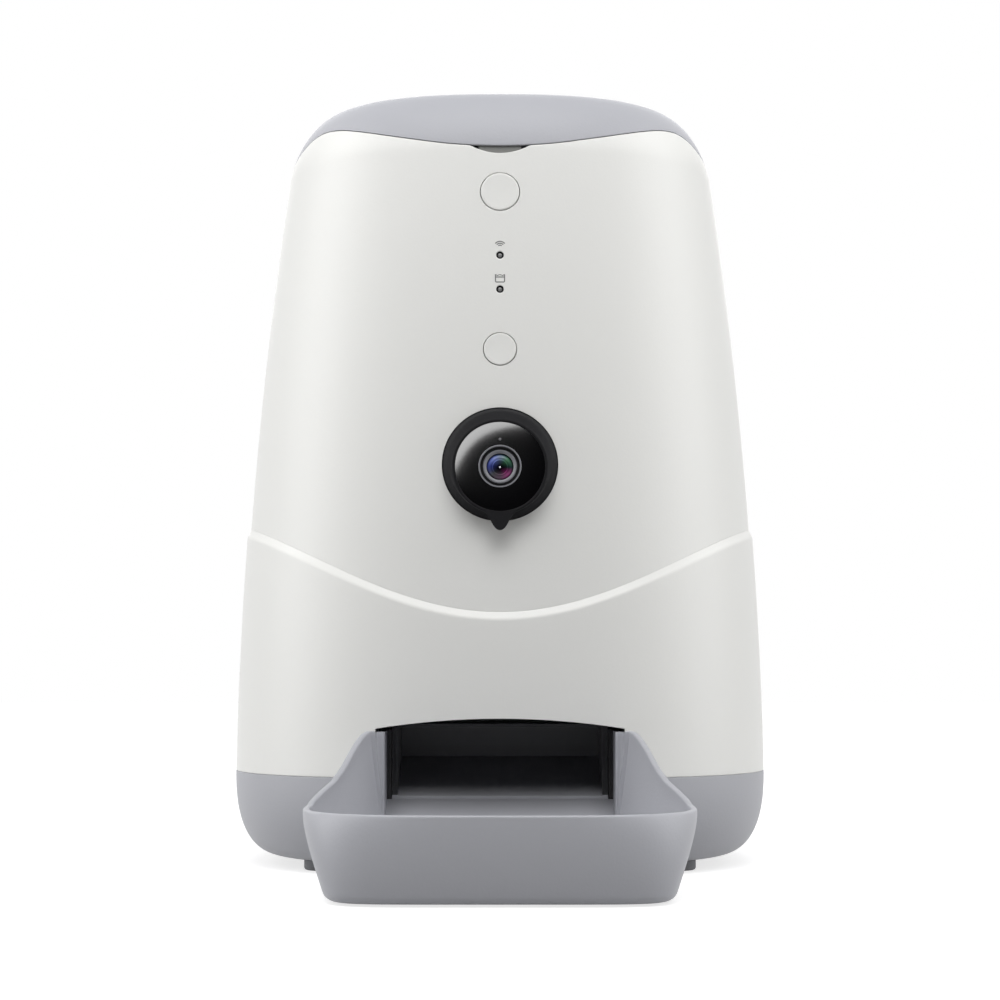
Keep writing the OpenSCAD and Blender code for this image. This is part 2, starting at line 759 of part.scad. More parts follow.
// A gear with a tooth in the given direction, measured from +X
module gear(teeth, height, towards) {
    rotate(towards) linear_extrude(height = height) gear_outline(teeth);
}

// Direction for a gear that shows a gap at one angle, so that a tooth of its neighbour fits in
function gap_at(angle, teeth) = angle + 180 / teeth;

module gearbox_outline(grow) {
    room = gear_module + gearbox_room + grow;
    translate([0, drum_y]) circle(r = output_pitch_r + room);
    translate([0, idler_y]) circle(r = idler_pitch_r + room);
    translate([0, pinion_y]) circle(r = pinion_pitch_r + room);
    translate([-pinion_pitch_r - room, drum_y])
        square([2 * (pinion_pitch_r + room), pinion_y - drum_y]);
}

module gearbox_housing() {
    color(charcoal) place() difference() {
        union() {
            translate([0, 0, gearbox_z]) linear_extrude(height = gearbox_h)
                gearbox_outline(gearbox_wall);
            for (p = gearbox_screw_places)
                translate([p[0], p[1], drum_z - gearbox_ear_h])
                    cylinder(r = gearbox_ear_r, h = gearbox_ear_h);
        }
        translate([0, 0, gear_floor_z]) linear_extrude(height = gearbox_h) gearbox_outline(0);
        translate([0, drum_y, gear_floor_z - shaft_seat]) cylinder(r = shaft_r + pin_fit, h = gearbox_h);
        translate([0, idler_y, gearbox_z - overcut])
            cylinder(r = idler_axle_r + pin_fit, h = gearbox_h);
        translate([0, pinion_y, gearbox_z - overcut]) cylinder(r = pinion_bore_r, h = gearbox_h);
        for (p = gearbox_screw_places)
            translate([p[0], p[1], gearbox_z])
                cylinder(r = screw_r + pin_fit, h = gearbox_h + overcut);
    }
}

module gearbox_screws() {
    color(steel) place()
        for (p = gearbox_screw_places)
            translate([p[0], p[1], drum_z - gearbox_ear_h]) {
                cylinder(r = screw_r, h = gearbox_ear_h + gearbox_screw_grip);
                translate([0, 0, -screw_head_h]) cylinder(r = screw_head_r, h = screw_head_h);
            }
}

module drive_motor() {
    color(steel) place() translate([0, pinion_y, gearbox_z - motor_h]) difference() {
        union() {
            cylinder(r = motor_r, h = motor_h);
            translate([0, 0, -motor_boss_h]) cylinder(r = motor_boss_r, h = motor_boss_h + overcut);
            for (x = [-motor_terminal_x, motor_terminal_x])
                translate([x, 0, overcut - motor_terminal[2] / 2]) cube(motor_terminal, center = true);
        }
        translate([0, 0, motor_h - motor_shaft_seat - seat_gap])
            cylinder(r = motor_shaft_r + pin_fit, h = motor_h);
    }
}

module motor_pinion() {
    shaft_l = motor_shaft_seat + gearbox_floor_t + motor_pinion_rise + motor_pinion_h - overcut;
    color(cream) place() translate([0, pinion_y, 0]) {
        translate([0, 0, gear_floor_z + motor_pinion_rise])
            gear(pinion_teeth, motor_pinion_h, gap_at(-90, pinion_teeth));
        translate([0, 0, gearbox_z - motor_shaft_seat]) cylinder(r = motor_shaft_r, h = shaft_l);
    }
}

// The large wheel has a tooth towards the motor, and the small one a gap towards the output gear
module idler_gear() {
    wheel_z = gear_floor_z + idler_wheel_rise;
    color(ivory) place() translate([0, idler_y, 0]) difference() {
        union() {
            translate([0, 0, gear_floor_z + seat_gap])
                cylinder(r = idler_boss_r, h = drum_z - gear_floor_z - 2 * seat_gap);
            translate([0, 0, wheel_z]) gear(idler_teeth, idler_wheel_h, 90);
            translate([0, 0, wheel_z + idler_wheel_h / 2])
                gear(pinion_teeth, idler_wheel_h / 2 + idler_pinion_h, gap_at(-90, pinion_teeth));
        }
        cylinder(r = idler_axle_r + pin_fit, h = drum_z + overcut);
    }
}

module idler_axle() {
    color(steel) place() translate([0, idler_y, gearbox_z])
        cylinder(r = idler_axle_r, h = gearbox_h + axle_pocket - seat_gap);
}

output_gear_z = gear_floor_z + output_gear_rise;
rotor_rise = 0.5;
rotor_z = drum_z + drum_floor_t + rotor_rise;
rotor_top_z = rotor_z + rotor_h;
shaft_foot_z = gear_floor_z - shaft_seat + seat_gap;

module output_shaft() {
    color(steel) place() translate([0, drum_y, shaft_foot_z])
        cylinder(r = shaft_r, h = rotor_top_z - overcut - shaft_foot_z);
}

module output_gear() {
    color(cream) place() translate([0, drum_y, output_gear_z]) difference() {
        union() {
            gear(output_teeth, output_gear_h, 90);
            cylinder(r = output_boss_r, h = output_gear_h + output_boss_h);
        }
        translate([0, 0, -overcut]) cylinder(r = shaft_r + pin_fit, h = 3 * output_gear_h);
        for (i = [0 : web_holes - 1])
            rotate(360 * (i + 0.5) / web_holes) translate([web_hole_at, 0, -overcut])
                cylinder(r = web_hole_r, h = 3 * output_gear_h);
    }
}

// Portion rotor: vanes that run into the hub with round fillets

vane_t = 2.6;
vane_gap = 0.7;
hub_r = 12;
fillet_r = 5;

module rotor_outline() {
    step = 360 / rotor_pockets;
    // Centre of the fillet between a vane and the hub
    fillet_y = vane_t / 2 + fillet_r;
    fillet_x = sqrt(pow(hub_r + fillet_r, 2) - pow(fillet_y, 2));
    circle(r = hub_r);
    for (i = [0 : rotor_pockets - 1])
        rotate(step * i) {
            translate([0, -vane_t / 2]) square([drum_r - vane_gap, vane_t]);
            difference() {
                polygon([[0, -fillet_y], [fillet_x, -fillet_y], [fillet_x, fillet_y], [0, fillet_y]]);
                for (side = [-1, 1])
                    translate([fillet_x, side * fillet_y]) circle(r = fillet_r);
            }
        }
}

module portion_rotor() {
    color(pale_grey) place() translate([0, drum_y, rotor_z]) difference() {
        linear_extrude(height = rotor_h) rotor_outline();
        translate([0, 0, -overcut]) cylinder(r = shaft_r + pin_fit, h = rotor_h);
    }
}

// Agitator: a cone on the rotor's hub with two fingers that stir the food
module agitator() {
    collar_h = 6;
    cone_h = 16;
    cone_r = 4;
    finger_r = 2.9;
    finger_l = 30;
    color(grey) place() translate([0, drum_y, rotor_top_z + face_gap]) {
        cylinder(r = hub_r, h = collar_h);
        translate([0, 0, collar_h - overcut / 2]) cylinder(r1 = hub_r, r2 = cone_r, h = cone_h);
        for (a = [30, 210])
            rotate(a) translate([hub_r - cone_r, 0, collar_h / 2]) rotate([0, 90, 0]) {
                cylinder(r = finger_r, h = finger_l);
                translate([0, 0, finger_l]) sphere(r = finger_r, $fn = 32);
            }
    }
}

// Electronics at the back

// Blocks on the main board: place across and up from its lower middle, then width, height and depth
board_edge = 7;
board_blocks = [[-20, 22, 14, 14, 3], [4, 20, 20, 24, 2], [-26, 2, 16, 8, 9], [10, 2, 12, 7, 6]];

module main_board() {
    half = board_boss_x + board_edge;
    low = board_boss_z[0] - board_edge;
    high = board_boss_z[1] + board_edge;
    color(circuit_green) place() difference() {
        union() {
            translate([-half, board_y, low]) cube([2 * half, board_t, high - low]);
            for (b = board_blocks)
                translate([b[0], board_y - b[4], low + b[1]]) cube([b[2], b[4] + board_t / 2, b[3]]);
        }
        for (x = [-board_boss_x, board_boss_x], z = board_boss_z)
            translate([x, board_y - overcut, z]) rotate([-90, 0, 0])
                cylinder(r = screw_r, h = board_t + 2 * overcut);
    }
}

module dc_inlet() {
    face_y = side_half(inlet_z) + depth_more;
    inside_y = face_y - back_inset(inlet_z + inlet_half_h) - seat_gap;
    body_l = 11;
    pocket_r = 2.8;
    contact_r = 1;
    back_t = 2;
    color(black) place() translate([0, 0, inlet_z]) difference() {
        union() {
            translate([-inlet_half_w, inside_y - body_l, -inlet_half_h])
                cube([2 * inlet_half_w, body_l, 2 * inlet_half_h]);
            translate([0, inside_y - overcut, 0]) rotate([-90, 0, 0])
                cylinder(r = inlet_barrel_r, h = overcut + face_y - inside_y - seat_gap);
        }
        translate([0, inside_y - body_l + back_t, 0]) rotate([-90, 0, 0])
            tube(pocket_r, contact_r, body_l + 2 * wall);
    }
}

module speaker() {
    cone_h = speaker_h - speaker_rim_h;
    color(charcoal) place()
        translate([speaker_place[0], speaker_place[1], pan_floor_z]) {
            tube(speaker_r, speaker_r - speaker_rim_w, speaker_rim_h);
            translate([0, 0, speaker_rim_h - overcut])
                cylinder(r1 = speaker_r - speaker_rim_w / 2, r2 = speaker_magnet_r, h = cone_h);
            translate([0, 0, speaker_h - speaker_magnet_h / 2])
                cylinder(r = speaker_magnet_r, h = speaker_magnet_h);
        }
}

// Front controls

// Local height of a place on the front above the middle of the button board
function up_board(z) = (z - control_board_z) / cos(front_tilt(control_board_z));
button_flange = 1.2;
button_proud = 0.3;
button_flange_t = 1.2;
button_stem_l = 3;
button_stem_r = 2;
button_back = wall + 2 * seat_gap + button_flange_t;
switch_gap = button_travel + seat_gap;
switch_half = 3;
switch_key_r = 1.7;
switch_key_h = 0.4;
board_screw_r = 1.2;

module button(diameter) {
    translate([0, 0, -button_back]) {
        cylinder(r = diameter / 2, h = button_back + button_proud);
        cylinder(r = diameter / 2 + button_flange, h = button_flange_t);
        translate([0, 0, -button_stem_l])
            cylinder(r = button_stem_r, h = button_stem_l + button_flange_t / 2);
    }
}

module feed_button() {
    color(white) place() on_front(feed_button_z) button(feed_button_d);
}

module call_button() {
    color(white) place() on_front(call_button_z) button(call_button_d);
}

module button_board() {
    half = control_boss_x + control_boss_r + board_t;
    low = control_boss_y[0] - control_boss_r - board_t;
    high = up_board(feed_button_z) + 2 * switch_half;
    key_h = control_board_depth + board_t / 2 - button_back - button_stem_l - switch_gap;
    color(circuit_green) place() on_front(control_board_z) difference() {
        union() {
            translate([-half, low, -control_board_depth - board_t])
                cube([2 * half, high - low, board_t]);
            for (z = [feed_button_z, call_button_z])
                translate([-switch_half, up_board(z) - switch_half, -control_board_depth - board_t / 2]) {
                    cube([2 * switch_half, 2 * switch_half, key_h - switch_key_h]);
                    translate([switch_half, switch_half, 0]) cylinder(r = switch_key_r, h = key_h);
                }
        }
        for (x = [-control_boss_x, control_boss_x], y = control_boss_y)
            translate([x, y, -control_board_depth - 2 * board_t])
                cylinder(r = board_screw_r, h = 4 * board_t);
    }
}

module light_pipes() {
    length = control_board_depth - 2 * seat_gap;
    color(pale_grey) place()
        for (z = [network_light_z, food_light_z])
            on_front(z) translate([0, 0, -length]) cylinder(r = light_d / 2, h = length);
}

// Camera. Heights are measured along its axis from the middle of the ball.

window_r = camera_d / 2 - camera_rim;
lip_w = 0.9;
lip_r = window_r + lip_w;
lip_f = sqrt(pow(ball_r, 2) - pow(lip_r, 2));
window_t = 1.6;
window_drop = 0.5;
window_f = lip_f - window_t - window_drop;
ball_back_f = -12;
window_ledge = 1.4;
cavity_r = window_r - window_ledge;
trunnion_r = trunnion_d / 2;
arm_gap = 0.6;
arm_t = 3;
arm_x = ball_r + arm_gap;
nub_t = 2.4;
nub_f = lip_f - nub_t;
nub_tip_r = 3.2;
nub_root_half_w = 5.6;

module on_ball() {
    on_front(camera_z) translate([0, 0, -ball_depth]) children();
}

// Outline of the finger nub below the window, narrowing to a round tip
module nub_outline() {
    tip_y = -(camera_d / 2 + nub_reach - nub_tip_r);
    flank_x = nub_tip_r * cos(30);
    flank_y = tip_y - nub_tip_r * sin(30);
    translate([0, tip_y]) circle(r = nub_tip_r);
    polygon([[-nub_root_half_w, -lip_r], [-flank_x, flank_y], [flank_x, flank_y],
        [nub_root_half_w, -lip_r]]);
}

module camera_ball() {
    color(charcoal) place() on_ball() {
        difference() {
            union() {
                intersection() {
                    sphere(r = ball_r, $fn = 96);
                    translate([0, 0, ball_back_f]) cylinder(r = 2 * ball_r, h = lip_f - ball_back_f);
                }
                mirrored_x()
                    translate([cavity_r + window_ledge, 0, 0]) rotate([0, 90, 0])
                        cylinder(r = trunnion_r, h = arm_x + arm_t + seat_gap - cavity_r - window_ledge);
                translate([0, 0, nub_f]) linear_extrude(height = nub_t) nub_outline();
            }
            translate([0, 0, window_f]) cylinder(r = window_r + pin_fit, h = 2 * ball_r);
            translate([0, 0, ball_back_f - overcut])
                cylinder(r = cavity_r, h = window_f - ball_back_f + 2 * overcut);
        }
    }
}

module camera_window() {
    color(black) place() on_ball() translate([0, 0, window_f])
        tube(window_r, lens_d / 2 + pin_fit, window_t);
}

board_lift = 4;
board_f = ball_back_f + board_lift;
lens_r = lens_d / 2;
barrel_f = board_f + board_t;
barrel_flange = 3;
cone_depth = 4;
cone_wall = 1;
lens_seat_w = 3;
glass_dome_r = 9;
glass_t = 3;

module lens_barrel() {
    color(charcoal) place() on_ball() difference() {
        union() {
            translate([0, 0, barrel_f]) cylinder(r = lens_r, h = window_f + window_t - barrel_f);
            translate([0, 0, barrel_f]) cylinder(r = lens_r + barrel_flange, h = barrel_flange);
        }
        translate([0, 0, window_f - cone_depth])
            cylinder(r1 = lens_r - lens_seat_w, r2 = lens_r - cone_wall,
                h = cone_depth + window_t + overcut);
    }
}

module lens_glass() {
    color(lens_blue) place() on_ball() translate([0, 0, window_f - cone_depth]) intersection() {
        cylinder(r = lens_r - lens_seat_w - pin_fit, h = cone_depth);
        translate([0, 0, glass_t - glass_dome_r]) sphere(r = glass_dome_r, $fn = 64);
    }
}

module camera_board() {
    plug_w = 10;
    plug_h = 8;
    plug_t = 3;
    color(circuit_green) place() on_ball() {
        translate([0, 0, board_f]) cylinder(r = cavity_r - pin_fit, h = board_t);
        translate([-plug_w / 2, -plug_h / 2, board_f - plug_t])
            cube([plug_w, plug_h, plug_t + board_t / 2]);
    }
}

bracket_back_f = -20;
bracket_t = 2.5;
bracket_room = 2.4;
bracket_front_f = ball_depth - wall - bracket_room;
bracket_half_h = 8;
ear_half_h = 4.5;
ear_end = 4;
bracket_screw_head_r = 2.4;
bracket_screw_head_h = 1.6;

module camera_bracket() {
    arm_out = arm_x + arm_t;
    face_f = bracket_face + ball_depth;
    color(charcoal) place() on_ball() difference() {
        union() {
            translate([-arm_out, -bracket_half_h, bracket_back_f])
                cube([2 * arm_out, 2 * bracket_half_h, bracket_t]);
            mirrored_x() {
                translate([arm_x, -ear_half_h, bracket_back_f])
                    cube([arm_t, 2 * ear_half_h, bracket_front_f - bracket_back_f]);
                translate([arm_x + arm_t / 2, -ear_half_h, face_f - bracket_t])
                    cube([bracket_boss_x + ear_end - arm_x - arm_t / 2, 2 * ear_half_h, bracket_t]);
            }
        }
        rotate([0, 90, 0]) cylinder(r = trunnion_r + pin_fit, h = 4 * arm_out, center = true);
        mirrored_x()
            translate([bracket_boss_x, 0, bracket_back_f])
                cylinder(r = board_screw_r + pin_fit, h = -bracket_back_f);
    }
}

module bracket_screws() {
    face_f = bracket_face + ball_depth;
    color(steel) place() on_ball()
        mirrored_x() translate([bracket_boss_x, 0, face_f - bracket_t]) {
            cylinder(r = board_screw_r, h = bracket_t - face_gap);
            translate([0, 0, -bracket_screw_head_h])
                cylinder(r = bracket_screw_head_r, h = bracket_screw_head_h);
        }
}

// Lid

function seam_edge(phi) = lid_seam(phi) + lid_gap;
// Start angle of the rounded edge's arc at the lid's lower edge
function seam_angle(phi, inset) =
    asin(pow(dome_share(seam_edge(phi), inset), dome_rise_power / 2));
function dome_point(phi, angle, inset) =
    let (z = dome_z + (crown_z - inset - dome_z) * pow(sin(angle), 2 / dome_rise_power),
        half = side_half(z) - ledge_step - inset - dome_edge * (1 - pow(cos(angle), 2 / dome_span_power)))
    plan_point(phi, half, z);
dome_levels = [0, 0.15, 0.31, 0.48, 0.66, 0.84, 1];

function dome_ring(level, inset) = [for (a = plan_angles)
    let (low = seam_angle(a, inset)) dome_point(a, low + level * (90 - low), inset)];
// The crown's rings: shares of the top's half width and of the crown's rise
crown_levels = [[0.65, 0.6], [0.3, 1]];
function crown_ring(level, inset) = [for (a = plan_angles)
    plan_point(a, level[0] * upper_half(crown_z - inset, inset), crown_z - inset + level[1] * crown_rise)];

lid_knuckle_out = hinge_half_span - knuckle_w - seat_gap;

module lid_knuckles() {
    knuckle_span(lid_knuckle_out - knuckle_w, lid_knuckle_out) {
        translate([hinge_y, hinge_z]) circle(r = knuckle_r);
        polygon([[hinge_wall_y - knuckle_root, hinge_z + lid_gap],
            [hinge_y - knuckle_r * cos(10), hinge_z + lid_gap / 4],
            [hinge_y, hinge_z], [hinge_y, hinge_z + knuckle_r],
            [hinge_wall_y - knuckle_root, hinge_z + lid_web_h]]);
    }
}

module lid_cover() {
    inner = concat([for (i = [len(crown_levels) - 1 : -1 : 0]) crown_ring(crown_levels[i], lid_wall)],
        [for (i = [len(dome_levels) - 1 : -1 : 0]) dome_ring(dome_levels[i], lid_wall)]);
    outer = concat([for (level = dome_levels) dome_ring(level, 0)],
        [for (level = crown_levels) crown_ring(level, 0)]);
    color(grey) place() difference() {
        union() {
            loft(concat(inner, outer), capped = true);
            lid_knuckles();
        }
        hinge_bore();
    }
}

liner_gap = 0.4;
liner_z = lid_seam_z + seam_lift + lid_gap + 2 * liner_gap;
liner_t = 2;
skirt_inner = 3;
skirt_outer = 5;
seal_t = 2;
seal_lift = 0.2;
seal_edge = 0.8;
toe_gap = 1.2;
desiccant_r = 32;
desiccant_h = 8;
desiccant_wall = 2;
vent_w = 3;
vent_pitch = 6;
vents_each_way = 3;
vent_margin = 5;
liner_ribs = 14;
liner_rib_w = 1.4;
liner_rib_h = 3.5;

module hopper_ring(inner, outer, height) {
    linear_extrude(height = height) difference() {
        polygon(hopper_outline(outer));
        polygon(hopper_outline(inner));
    }
}

module lid_liner() {
    plate_half = upper_half(liner_z + liner_t, lid_wall + liner_gap);
    skirt_z = hopper_rim_z + seal_lift + seal_t;
    toe_top = seam_edge(0) - face_gap;
    toe_low = lid_seam(0) - notch_depth - toe_gap;
    toe_front = front_depth(lid_seam(0)) - wall - toe_gap;
    toe_back = hopper_front + skirt_inner + overcut;
    color(pale_grey) place() {
        translate([0, 0, liner_z]) linear_extrude(height = liner_t)
            polygon([for (a = plan_angles)
                let (p = plan_point(a, plate_half, 0)) [p[0], p[1]]]);
        translate([0, 0, skirt_z])
            hopper_ring(skirt_inner, skirt_outer, liner_z - skirt_z + liner_t / 2);
        translate([-tongue_w / 2, -toe_front, toe_low])
            cube([tongue_w, toe_front - toe_back, toe_top - toe_low]);
        translate([0, 0, liner_z - desiccant_h])
            tube(desiccant_r, desiccant_r - desiccant_wall, desiccant_h + liner_t / 2);
        liner_rib_fan();
    }
}

// Stiffening ribs run from the desiccant cup out to the skirt
module liner_rib_fan() {
    translate([0, 0, liner_z - liner_rib_h]) linear_extrude(height = liner_rib_h + liner_t / 2)
        intersection() {
            polygon(hopper_outline((skirt_inner + skirt_outer) / 2));
            for (i = [0 : liner_ribs - 1]) rotate(360 * (i + 0.5) / liner_ribs)
                translate([desiccant_r - desiccant_wall / 2, -liner_rib_w / 2])
                    square([body_w, liner_rib_w]);
        }
}

module lid_seal() {
    color(charcoal) place() translate([0, 0, hopper_rim_z + seal_lift])
        hopper_ring(skirt_inner - seal_edge, skirt_outer + seal_edge, seal_t);
}

module desiccant_cover() {
    cup_r = desiccant_r - desiccant_wall - liner_gap / 2;
    cup_h = 5;
    plate_t = desiccant_wall - face_gap;
    color(grey) place() translate([0, 0, liner_z - desiccant_h - desiccant_wall]) difference() {
        union() {
            cylinder(r = desiccant_r, h = plate_t);
            cylinder(r = cup_r, h = cup_h);
        }
        translate([0, 0, plate_t]) cylinder(r = cup_r - desiccant_wall, h = cup_h);
        for (i = [-vents_each_way : vents_each_way]) {
            x = vent_pitch * i;
            reach = sqrt(pow(cup_r - vent_margin, 2) - pow(x, 2));
            translate([x - vent_w / 2, -reach, -overcut]) cube([vent_w, 2 * reach, cup_h]);
        }
    }
}

module hinge_pin() {
    color(steel) place() translate([0, hinge_y, hinge_z]) rotate([0, 90, 0])
        cylinder(r = hinge_pin_r, h = 2 * hinge_half_span, center = true);
}

// Feeding bowl. Its outline is a list of places from the right end of the neck, round the front,
// to the left end of the neck. Each place has its own rim height and wall lean.

neck_gap = 1.4;
neck_half_w = throat_half_w - neck_gap;
// The neck's floor lies one step above the bowl's, and its top and underside one inside the shoulder's
neck_step = 0.4;
neck_bottom_z = sill_z + neck_step;
neck_overlap = 4;
neck_taper = 8;
bowl_lean = 0.39;
neck_lean = 0.13;
// The wall is upright at the rim, over this depth, and the outline is squarer at the bottom
lean_soft = 7;
bottom_power = 7;
bowl_floor_t = 2.4;
ramp_reach = 13;
ramp_start = bowl_wide_d - ramp_reach;
bowl_ramp_drop = 1;
bowl_ramp_z = ramp_foot_z - bowl_ramp_drop;
bowl_corner_r = 2.5;
hollow_margin = 9;

// The rim's side: how full its curve is in plan, then its first lift and its main climb to the neck
rim_fullness = 1.3;
rim_first_lift = 8.2;
rim_first_slope = 2;
rim_climb_start = 0.42;
rim_climb_span = 0.54;
front_steps = 12;
side_steps = 9;

// Smooth step from 0 to 1
function ease(t) = let (u = min(max(t, 0), 1)) u * u * (3 - 2 * u);
// Half width and height of the rim along its side, by distance in front of the body's centre
function rim_back_share(d) = (bowl_wide_d - d) / (bowl_wide_d - neck_start);
function rim_side_x(d) = bowl_half_w
    - (bowl_half_w - bowl_shoulder_half_w) * pow(max(rim_back_share(d), 0), rim_fullness);
function rim_z(d) = bowl_rim_z
    + rim_first_lift * min(max(rim_back_share(d) * rim_first_slope, 0), 1)
    + (bowl_neck_z - bowl_rim_z - rim_first_lift)
        * ease((rim_back_share(d) - rim_climb_start) / rim_climb_span);
function rim_lean(d) = bowl_lean + (neck_lean - bowl_lean) * min(max(rim_back_share(d), 0), 1);

// Right half of the rim, from the shoulder to the front: x and distance
rim_side = [for (i = [0 : side_steps - 1])
    let (d = neck_start + (bowl_wide_d - neck_start) * i / side_steps) [rim_side_x(d), d]];
rim_front = [for (i = [0 : front_steps])
    let (a = 90 * i / front_steps)
    [bowl_half_w * pow(cos(a), 2 / bowl_power),
        bowl_wide_d + (bowl_front - bowl_wide_d) * pow(sin(a), 2 / bowl_power)]];
rim_right = concat(rim_side, rim_front);

// Angle of a place on the front's outline, and that outline's squareness at a height
function front_angle(p) = atan2(
    pow((p[1] - bowl_wide_d) / (bowl_front - bowl_wide_d), bowl_power / 2),
    pow(p[0] / bowl_half_w, bowl_power / 2));
function front_power(z) = bowl_power + (bottom_power - bowl_power)
    * min(max((bowl_rim_z - z) / (bowl_rim_z - bowl_bottom_z), 0), 1);
function lean_run(depth) = sqrt(depth * depth + lean_soft * lean_soft) - lean_soft;

function bowl_under(d) = bowl_bottom_z
    + (neck_bottom_z - bowl_bottom_z) * (1 - ease((d - neck_start - neck_overlap) / neck_taper));
function bowl_floor(d) = bowl_bottom_z + bowl_floor_t
    + (bowl_ramp_z - bowl_bottom_z - bowl_floor_t)
        * max(ramp_start - d, 0) / (ramp_start - neck_back);

// A place on the wall, at a height, drawn in by an inset
function wall_point(p, z, inset) =
    let (out = -inset - rim_lean(p[1]) * lean_run(max(rim_z(p[1]) - z, 0)))
    p[1] <= bowl_wide_d ? [p[0] + out, -p[1], z]
        : let (angle = front_angle(p), power = front_power(z))
        [(bowl_half_w + out) * pow(max(cos(angle), 0), 2 / power),
            -bowl_wide_d - (bowl_front + out - bowl_wide_d) * pow(sin(angle), 2 / power), z];

// Solid between stacked levels of a half outline and its mirror image, open to no side
module mirrored_loft(levels) {
    count = len(levels);
    half = len(levels[0]);
    size = 2 * half - 1;
    rows = [for (level = levels)
        concat(level, [for (i = [half - 2 : -1 : 0]) [-level[i][0], level[i][1], level[i][2]]])];
    walls = [for (k = [0 : count - 2], i = [0 : size - 2], part = [0, 1])
        let (a = k * size + i, b = a + 1, c = b + size, d = a + size)
        part == 0 ? [a, b, c] : [a, c, d]];
    back = [for (k = [0 : count - 2], part = [0, 1])
        let (a = k * size, b = a + size - 1, c = b + size, d = a + size)
        part == 0 ? [a, c, b] : [a, d, c]];
    strips = [for (i = [0 : half - 2], part = [0, 1])
        let (a = i, b = i + 1, c = size - 2 - i, d = size - 1 - i)
        if (b != c || part == 0) part == 0 ? [a, d, b] : [b, d, c]];
    top_start = (count - 1) * size;
    tops = [for (s = strips) [top_start + s[0], top_start + s[2], top_start + s[1]]];
    polyhedron(points = [for (row = rows) each row], faces = concat(walls, back, strips, tops),
        convexity = 8);
}

module bowl_outside() {
    rounding = [[0, bowl_corner_r], [0.3, bowl_corner_r * 0.36], [0.7, bowl_corner_r * 0.06]];
    low = [for (r = rounding) [for (p = rim_right)
        wall_point(p, bowl_under(p[1]) + r[0] * bowl_corner_r, r[1])]];
    high = [for (share = [0.3, 0.55, 0.75, 0.9, 1]) [for (p = rim_right)
        let (z = bowl_under(p[1]) + bowl_corner_r)
        wall_point(p, z + share * (rim_z(p[1]) - z), 0)]];
    mirrored_loft(concat(low, high));
}

module bowl_inside() {
    outline = concat([[rim_right[0][0], neck_start - neck_step]], rim_right);
    rounding = [[0, 3], [0.12, 0.6], [0.35, 0], [0.6, 0], [0.8, 0], [1, 0]];
    mirrored_loft([for (r = rounding) [for (p = outline)
        let (low = bowl_floor(p[1]), high = rim_z(p[1]) + 2 * overcut)
        wall_point(p, low + r[0] * (high - low), bowl_wall + r[1])]]);
}

// The shoulders close the step between the wide rim and the narrower neck
module bowl_shoulders() {
    low = neck_bottom_z + neck_step;
    high = bowl_neck_z - neck_step;
    half_high = bowl_shoulder_half_w - neck_lean * neck_step - neck_step;
    half_low = half_high - neck_lean * (high - low);
    forwards(neck_start - neck_step - bowl_wall, neck_start + neck_overlap / 2)
        polygon([[-half_low, low], [half_low, low], [half_high, high], [-half_high, high]]);
}

// The neck runs straight back into the throat
module bowl_neck() {
    low = neck_bottom_z + neck_step;
    high = bowl_neck_z - neck_step;
    front = neck_start + neck_overlap - overcut;
    across(2 * neck_half_w)
        polygon([[neck_back, bowl_ramp_z - 2 * bowl_wall], [neck_start - neck_taper, low],
            [front, low], [front, high], [neck_back, high]]);
}

module bowl_neck_duct() {
    back = neck_back - overcut;
    front = neck_start + neck_overlap;
    across(2 * (neck_half_w - bowl_wall))
        polygon([[back, bowl_floor(back) + neck_step], [front, bowl_floor(front) + neck_step],
            [front, body_h], [back, body_h]]);
}

// The underside is hollow below the ramp, so that the wall stays even
module bowl_ramp_hollow() {
    back = neck_start - neck_taper + bowl_wall;
    across(2 * (neck_half_w - hollow_margin))
        polygon([[back, bowl_bottom_z - overcut], [ramp_start - bowl_wall, bowl_bottom_z - overcut],
            [ramp_start - bowl_wall, bowl_floor(ramp_start - bowl_wall) - bowl_floor_t],
            [back, bowl_floor(back) - bowl_floor_t]]);
}

module feeding_bowl() {
    color(grey) place() difference() {
        union() {
            bowl_outside();
            bowl_shoulders();
            bowl_neck();
        }
        bowl_inside();
        bowl_neck_duct();
        bowl_ramp_hollow();
    }
}

base_pan();
rubber_feet();
base_screws();
lower_housing();
upper_housing();
hopper();
dispenser_drum();
discharge_chute();
gearbox_housing();
gearbox_screws();
drive_motor();
motor_pinion();
idler_gear();
idler_axle();
output_shaft();
output_gear();
portion_rotor();
agitator();
main_board();
dc_inlet();
speaker();
button_board();
feed_button();
call_button();
light_pipes();
camera_bracket();
bracket_screws();
camera_ball();
camera_window();
lens_barrel();
lens_glass();
camera_board();
lid_cover();
lid_liner();
lid_seal();
desiccant_cover();
hinge_pin();
feeding_bowl();
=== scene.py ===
from math import asin, atan, atan2, cos, degrees, exp, hypot, pi, radians, sin, sqrt
import bmesh
import bpy
from mathutils import Matrix, Vector


